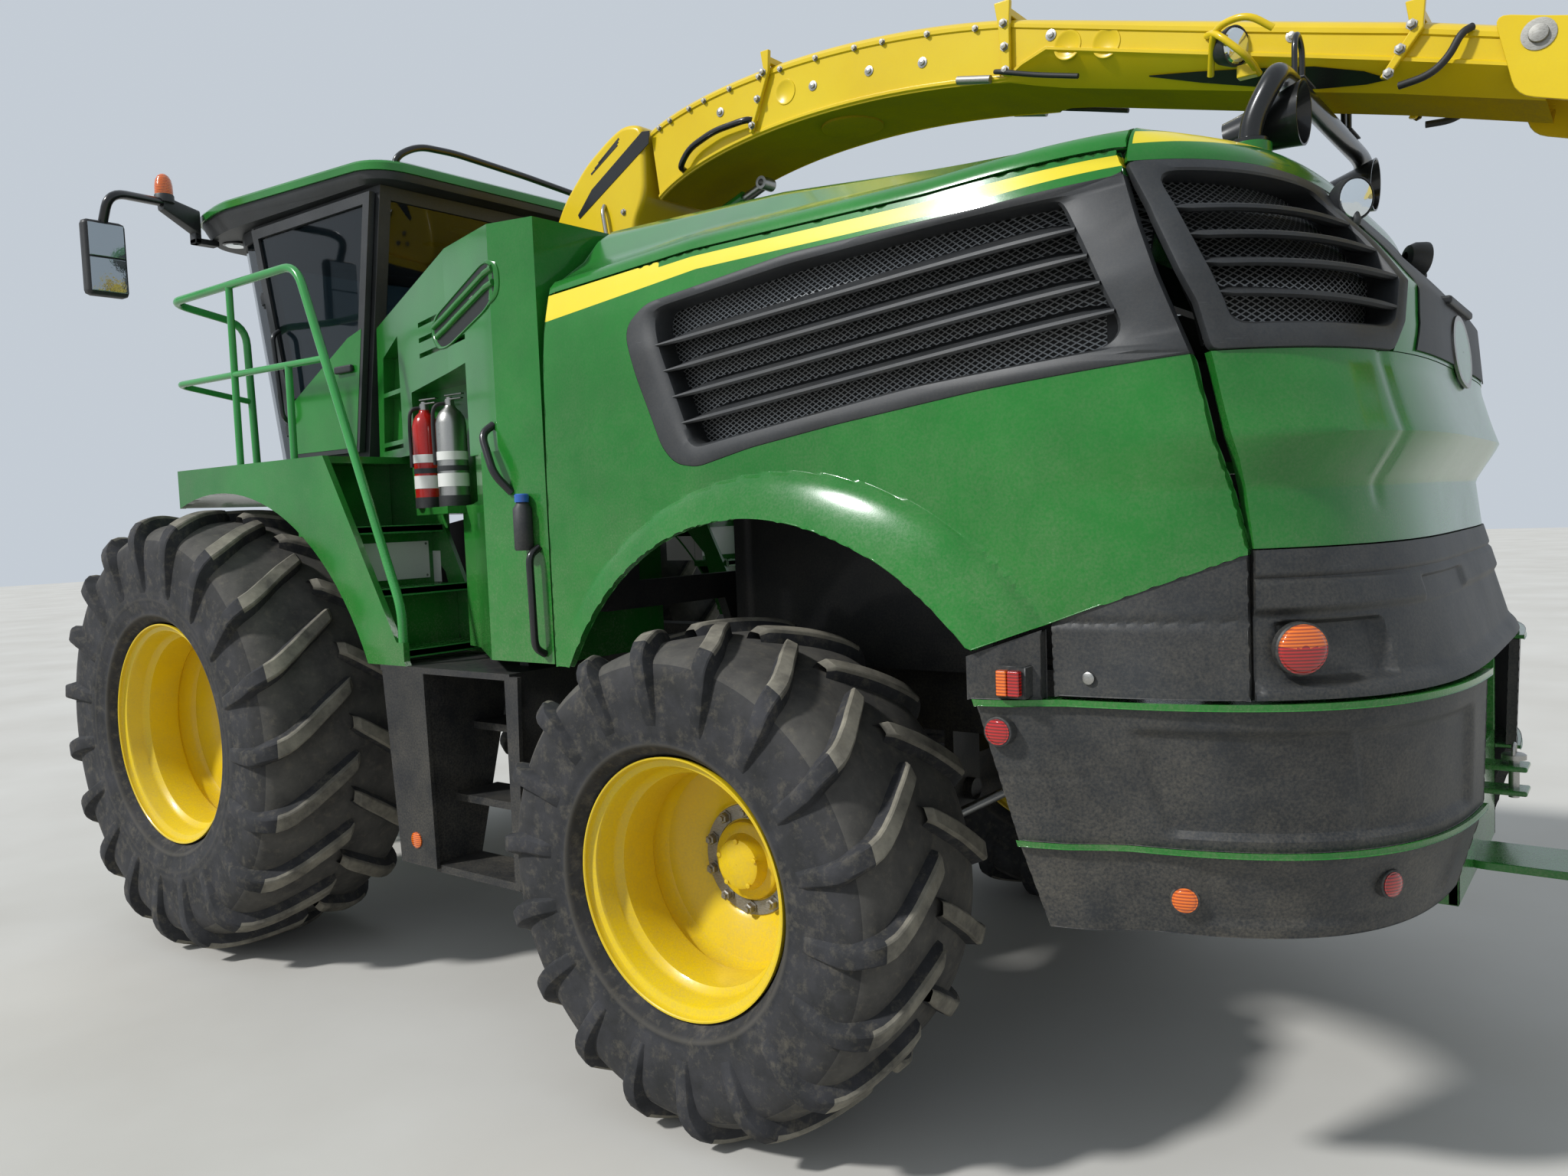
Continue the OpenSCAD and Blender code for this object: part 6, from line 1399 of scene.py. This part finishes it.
def spout_collars(top, low):
    """Collars round the arm: a strap down each side with an ear above the top edge, and a bar across."""
    made = []
    for x, lean, width in ((560, -60, 24), (-530, 30, 44), (-1850, 55, 34)):
        i = int(np.argmin(np.abs(top[:, 0] - x)))
        p, q = top[i], low[np.argmin(np.abs(low[:, 0] - (x - lean)))]
        for side in (1, -1):
            strap = [(p[0] - width / 2 - 6, p[1] + 44), (p[0] + width / 2 + 14, p[1] + 44),
                     (p[0] + width / 2, p[1] - 40),
                     (q[0] + width / 2 - 6, q[1] + 20), (q[0] - width / 2 + 6, q[1] + 14),
                     (p[0] - width / 2, p[1] - 40)]
            made.append(plate(f"strap_{x}", strap, side * 232, side * 252, "yellow_paint", "spout", 4))
            for h in (0.15, 0.5, 0.85):
                spot = p + (q - p) * h
                made.append(lathe("strap_bolt", (spot[0], side * 251, spot[1]), (0, side, 0),
                                  [(0, 17), (4, 17), (4, 12), (15, 11), (17, 0)], "dusty_steel", "spout",
                                  count=6))
        made.append(plate(f"collar_top_{x}", [(p[0] - width / 2, p[1] - 8), (p[0] + width / 2, p[1] - 8),
                                               (p[0] + width / 2, p[1] + 20), (p[0] - width / 2, p[1] + 20)],
                          -240, 240, "yellow_paint", "spout", 3))
    return made


def spout_fittings(top, low):
    """Bolts, pressings, grab bar and wires on the arm's sides."""
    made = []
    for side in (1, -1):
        # bolts under the rolled edge and a few in the side
        for t in np.linspace(2, 31, 12):
            p, q = top[int(t)], low[int(t)]
            spot = p + (q - p) * 44 / np.linalg.norm(q - p)
            made.append(lathe("edge_bolt", (spot[0], side * 230, spot[1]), (0, side, 0),
                              [(0, 13), (3, 13), (3, 9), (12, 9), (13, 0)], "dusty_steel", "spout", count=6))
        for x, z in ((330, 3690), (60, 3680), (-180, 3650), (820, 3700), (-700, 3610), (-1500, 3390)):
            made.append(lathe("side_bolt", (x, side * 225, z), (0, side, 0),
                              [(0, 20), (3, 20), (4, 12), (10, 11), (12, 0)],
                              "bare_steel", "spout", count=12))
        for x, z in ((470, 3700), (-760, 3560), (-900, 3530)):
            made.append(lathe("pressing", (x, side * 224, z), (0, side, 0),
                              [(0, 52), (4, 50), (4, 42), (1.5, 38), (1.5, 0)],
                              "yellow_paint", "spout", count=40))
        y = side * 262
        made.append(tube("grab_bar", [(1040, side * 228, 3500), (1033, y, 3506), (975, y, 3572),
                                      (832, y, 3614), (649, y, 3622),
                                      (640, side * 228, 3622)], 14, "black_gloss_paint", "spout", bend=50))
        made.append(tube("wire_front", [(-489, side * 240, 3533), (-520, y, 3520), (-641, side * 240, 3484),
                                        (-802, side * 238, 3440)],
                         9, "hose", "spout", bend=60))
        made.append(tube("connector", [(-335, side * 240, 3541), (-470, side * 242, 3511)], 15, "dusty_steel",
                         "spout", bend=5))
        made.append(tube("wire_rear",
                         [(-1800, side * 238, 3160), (-1884, y, 3163), (-1934, y, 3204), (-1964, y, 3262),
                                       (-1990, side * 238, 3280)], 11, "hose", "spout", bend=50))
    return made


def spout_slots(top, low):
    """Slot low in the sloping side of the tray, drawn as a near-black strip of painted shade between two
    shares of that slope's height.
    """
    made = []
    for side in (1, -1):
        rows = []
        for x, s0, s1 in ((-1030, 0.40, 0.44), (-1200, 0.24, 0.62), (-1400, 0.12, 0.80), (-1560, 0.10, 0.92),
                          (-1700, 0.3, 0.8), (-1760, 0.5, 0.56)):
            p, q = (np.array([x, np.interp(-x, -line[:, 0], line[:, 1])]) for line in (top, low))
            k = fold_share(q)
            edge = floor_half(k)
            rise = (p - q) * k * 0.94
            rows.append([(q[0] + rise[0] * t, side * (edge + (225 - edge) * 0.9 * t + 2.5),
                          q[1] + rise[1] * t)
                         for t in (s0, s1)])
        # the slot's inside is only shade: a near-black strip of painted shade
        made.append(strip_mesh("slot", rows, "dark_void", "spout", flip=side < 0))
    return made


def spout():
    """The arm with everything on it, the work lamp in its tube cage, and the plate in its underside."""
    top, low, made = spout_duct()
    made += spout_collars(top, low) + spout_fittings(top, low) + spout_slots(top, low)
    made += [lathe("arm_lamp", (-1330, 262, 3392), (-0.9, 0.42, -0.12),
                   [(-50, 20), (-46, 46), (0, 62), (14, 62), (14, 57)], "black_plastic", "spout"),
             lathe("arm_lens", (-1340, 267, 3391), (-0.9, 0.42, -0.12), [(0, 57), (8, 50), (12, 30), (13, 0)],
                   "lamp_clear", "spout"),
             tube("cage", [(-1250, 228, 3330), (-1290, 330, 3440), (-1400, 360, 3445), (-1470, 330, 3392)],
                  11, "yellow_paint", "spout", bend=50),
             tube("cage_low",
                  [(-1240, 228, 3460), (-1300, 345, 3420), (-1390, 330, 3330), (-1400, 228, 3300)], 11,
                  "yellow_paint", "spout", bend=50),
             box("lamp_foot", (-1400, 226, 3290), (-1340, 262, 3330), "yellow_paint", "spout", edge=4)]
    # access plate in the underside, in the darker yellow that is painted shade
    i = 20
    across = low[i + 1] - low[i - 1]
    down = np.array([across[1], 0, -across[0]])
    if down[2] > 0:
        down = -down
    made.append(lathe("access_plate", (low[i][0], 0, low[i][1] + 6), down,
                      [(0, 130), (9, 130), (12, 124), (12, 0)], "shaded_dusty_yellow", "spout", count=48))
    for piece in made:
        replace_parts(piece, "spout_arm")


def turret():
    """Yellow hood over the turret with a blank black stripe, three louvres drawn as near-black strips of
    painted shade, and rounded edges.
    """
    outline = rounded([(1330, 3190), (1935, 3190), (1895, 3350), (1800, 3500), (1640, 3645), (1480, 3735),
                       (1380, 3772), (1262, 3745), (1262, 3440), (1345, 3300)], 60, 5)
    hood_ = plate("turret_hood", outline, -250, 250, "yellow_paint", "turret", 26)
    hood_.modifiers[0].segments = 4
    made = [hood_]
    for side in (1, -1):
        lo, hi = side * 249, side * 252.5
        made.append(plate("stripe_blank",
                          [(1690, 3400), (1225, 3650), (1215, 3705), (1262, 3712), (1600, 3520),
                           (1700, 3420)],
                          lo, hi, "black_gloss_paint", "turret", 1))
        # louvres: near-black plates where the slits would be, painted shade
        for k in range(3):
            a = np.array([1600 - 26 * k, 3590 + 20 * k])
            b = np.array([1420 - 6 * k, 3688 + 13 * k])
            n = np.array([0.48, 0.87]) * 5
            made.append(plate("louvre", [a - n, b - n, b + n, a + n], lo, side * 251.5, "dark_void", "turret",
                              1))
        for x, z in ((1660, 3330), (1620, 3270), (1700, 3280), (1400, 3380)):
            made.append(lathe("hood_bolt", (x, side * 249, z), (0, side, 0),
                              [(0, 16), (4, 16), (4, 11), (13, 10), (14, 0)],
                              "dusty_steel", "turret", count=6))
        made.append(tube("latch", [(1520, side * 252, 3430), (1512, side * 275, 3400),
                                   (1490, side * 275, 3270), (1486, side * 252, 3250)],
                         10, "bare_steel", "turret", bend=24))
    made.append(lathe("turntable", (1640, 0, 3091), (0, 0, 1),
                      [(0, 0), (0, 300), (69, 300), (69.5, 335), (105.5, 335),
                      (105.5, 0)], "yellow_paint", "turret", count=96))
    for piece in made:
        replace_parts(piece, "spout_turret")


def spout_end():
    """Side plates of the bending end and its flap with rounded eyes and large pivot bolts."""
    tip = [(-2040, 3300), (-2165, 3262), (-2420, 3195), (-2560, 3160), (-2700, 3082), (-2700, 2860),
           (-2095, 3060)]
    flap = [(-2560, 3120), (-2640, 3125), (-2720, 3078), (-3290, 2870), (-3310, 2800), (-2590, 2900)]
    for name, body, shape, y, eye in (("spout_tip", "spout_end", tip, 231, (-2150, 3215)),
                                      ("spout_flap", "spout_end_flap", flap, 245, (-2640, 3045))):
        made = []
        for side in (1, -1):
            made.append(plate(name + "_side", rounded(shape, 45, 5), side * y, side * (y + 8), "yellow_paint",
                              body, 3))
            made.append(lathe(name + "_eye", (eye[0], side * (y + 7), eye[1]), (0, side, 0),
                              [(0, 44), (4, 44), (5, 30), (5, 26), (16, 24), (18, 10), (18, 0)],
                              "dusty_steel", body, count=24))
        x0, x1 = (-2170, -2700) if name == "spout_tip" else (-2712, -3290)
        z0, z1 = (3260, 3082) if name == "spout_tip" else (3075, 2870)
        made.append(plate(name + "_top", [(x0, z0 - 8), (x0, z0), (x1, z1), (x1, z1 - 8)], -y - 2, y + 2,
                          "yellow_paint", body, 2))
        for piece in made:
            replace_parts(piece, name)


def tail_details():
    """Work lamp on the grille, and a blank oval badge under a brow on the black middle of the tail."""
    for side in (1, -1):
        at = np.array([-1683, side * 521, 2790.0])
        axis = np.array([-0.78, side * 0.6, -0.12])
        at = at + 72 * axis
        lathe("tail_lamp_shell", at - 62 * axis, axis,
              [(0, 20), (8, 44), (30, 56), (62, 60), (70, 60), (70, 56)], "black_plastic")
        lathe("tail_lamp_lens", at + 5 * axis, axis, [(0, 56), (5, 52), (8, 30), (9, 0)], "lamp_clear")
        tube("tail_lamp_foot",
             [at - 20 * axis, at - np.array([10, 0, 70]), at - 90 * axis - np.array([0, 0, 80])], 12,
             "black_plastic", bend=20)
        lathe("tail_lock", (-1272, side * 1393, 1514), (0, side, 0), [(0, 16), (5, 16), (7, 12), (7, 0)],
              "bare_steel")
    def left(z):
        """Plan angle of the black centre's left edge at a height."""
        return strip_edge(z) + np.interp(z, [2330, 2420, 2560, 2815], [6.4, 4.4, 3.0, 1.4])
    tail_skin("tail_black", left, np.linspace(2330, 2815, 20), lambda a, z: -3.0 + 0 * z, "black_plastic",
              columns=30, thickness=4)
    turn = np.linspace(0, 2 * math.pi, 48, endpoint=False)
    def oval(share, d):
        """Ring of the badge on the tail's skin, drawn in to a share of its size."""
        z = 2381 + 112 * share * np.sin(turn)
        y = 185 * share * np.cos(turn)
        a = np.degrees(np.arccos(np.sign(y) * (np.abs(y) / half_width(z)) ** 2))
        return tail_point(a, z, d)
    bead = [oval(share, d) for share, d in ((1.0, 0), (1.0, -9), (0.93, -11), (0.86, -9))]
    ring_mesh("badge_rim", bead, "bare_steel", "chassis", True)
    ring_mesh("badge_blank", [oval(share, -9) for share in (0.87, 0.6, 0.3, 0.02)], "body_paint", "chassis",
              True)
    box("badge_brow", (-1935, -230, 2505), (-1880, 230, 2530), "black_plastic", edge=8)


def stair_details():
    """Risers between the cab's treads, with ribbed nosings whose lighter green is painted sunlight, and a
    blank white plate on the middle one.
    """
    above = [tread[0] for tread in TREADS[1:]] + [DECK]
    for side, word in WORD.items():
        inner, outer = span(side, 905, 1372)
        for (z, x0, x1), top in zip(TREADS, above):
            box("riser", (x1 - 6, inner, z - 4), (x1, outer, top - 26), "body_paint", edge=1.5)
            # nosing in a lighter green than the tread: painted sunlight on the step's edge
            box("nosing", (x0 - 3, inner + 4, z - 26), (x0 + 5, outer - 4, z + 4), "bright_green", edge=2)
            for x in np.linspace(x0 + 26, x1 - 40, 5):
                box("tread_rib", (x - 4, inner + 10, z), (x + 4, outer - 10, z + 4), "body_paint", edge=1)
        a, b = span(side, 895, 903)
        box("stair_wall", (1960, a, 1960), (2392, b, 2287), "body_paint", edge=1)
        a, b = span(side, 930, 1310)
        box("plate_blank_" + word, (2080 - 9, a, 1738), (2080 - 6, b, 1905), "label", edge=1)
        for y, z in ((945, 1750), (945, 1893), (1295, 1750), (1295, 1893)):
            lathe("plate_rivet", (2071, side * y, z), (-1, 0, 0), [(0, 6), (2.5, 5), (3.5, 0)], "dusty_steel",
                  count=10)


for side in (1, -1):
    side_panel(side)
    side_grille(side)
    rear_skirt(side)
hood()
tail_green()
tail_band()
tail_grille()
hitch()
lamps()
hoop()
horns()
for side, word in WORD.items():
    for end, x, y, r, width, rim_r, lug_h, lugs, _, _, _ in WHEELS:
        tyre(f"{end}_tyre_{word}", (x, side * y, r, side), r, width, rim_r, lug_h, lugs,
             f"{end}_wheel_{word}")
    for end, x, y, r, width, rim_r, _, _, disc, hub, bore in WHEELS:
        rim(f"{end}_rim_{word}", (x, side * y, r, side), width, rim_r, disc, hub, bore, f"{end}_wheel_{word}")
roof()
mirrors()
handrails()
extinguishers()
console_details()
cab_details()
spout()
turret()
spout_end()
tail_details()
stair_details()


def stage():
    """Pale floor, sun from behind the camera's left and a bright sky fill."""
    mesh = bpy.data.meshes.new("floor")
    half = 60
    mesh.from_pydata([(-half, -half, 0), (half, -half, 0), (half, half, 0), (-half, half, 0)], [],
                     [(0, 1, 2, 3)])
    floor = bpy.data.objects.new("floor", mesh)
    bpy.context.collection.objects.link(floor)
    made, tree, where = material("floor")
    cloud = add(tree, "TexNoise", {"Vector": where, "Scale": 0.7, "Detail": 8.0})
    tone = add(tree, "ValToRGB", {"Fac": cloud.outputs[0]}, ramp=[(0.3, "#b4b1aa"), (0.7, "#bfbdb7")])
    finish(tree, add(tree, "BsdfPrincipled", {"Base Color": tone.outputs[0], "Roughness": 0.9}).outputs[0])
    floor.data.materials.append(made)
    world = bpy.data.worlds.new("sky")
    bpy.context.scene.world = world
    world.use_nodes = True
    world.node_tree.nodes["Background"].inputs[0].default_value = linear("#dfe8f2")
    world.node_tree.nodes["Background"].inputs[1].default_value = 0.75
    sun = bpy.data.lights.new("sun", "SUN")
    sun.energy = 3.4
    sun.angle = math.radians(5)
    lamp = bpy.data.objects.new("sun", sun)
    bpy.context.collection.objects.link(lamp)
    lamp.rotation_euler = (math.radians(48), 0, math.radians(150))
    bpy.context.scene.view_settings.view_transform = "Standard"


def camera():
    """Camera of the photograph: place and angles from the fit to wheels and body edges."""
    yaw, pitch, roll = (math.radians(a) for a in (-52.791, -3.579, -2.235))
    ahead = np.array([math.cos(yaw) * math.cos(pitch), math.sin(yaw) * math.cos(pitch), math.sin(pitch)])
    level = np.array([math.sin(yaw), -math.cos(yaw), 0.0])
    rise = np.cross(level, ahead)
    right = math.cos(roll) * level + math.sin(roll) * rise
    up = math.cos(roll) * rise - math.sin(roll) * level
    data = bpy.data.cameras.new("camera")
    data.sensor_width = 36
    data.lens = 26.78
    obj = bpy.data.objects.new("camera", data)
    bpy.context.collection.objects.link(obj)
    turn = Matrix([[right[i], up[i], -ahead[i]] for i in range(3)]).to_4x4()
    obj.matrix_world = Matrix.Translation((REAR_AXLE - 2.445, 4.205, 1.959)) @ turn
    bpy.context.scene.camera = obj


stage()
camera()
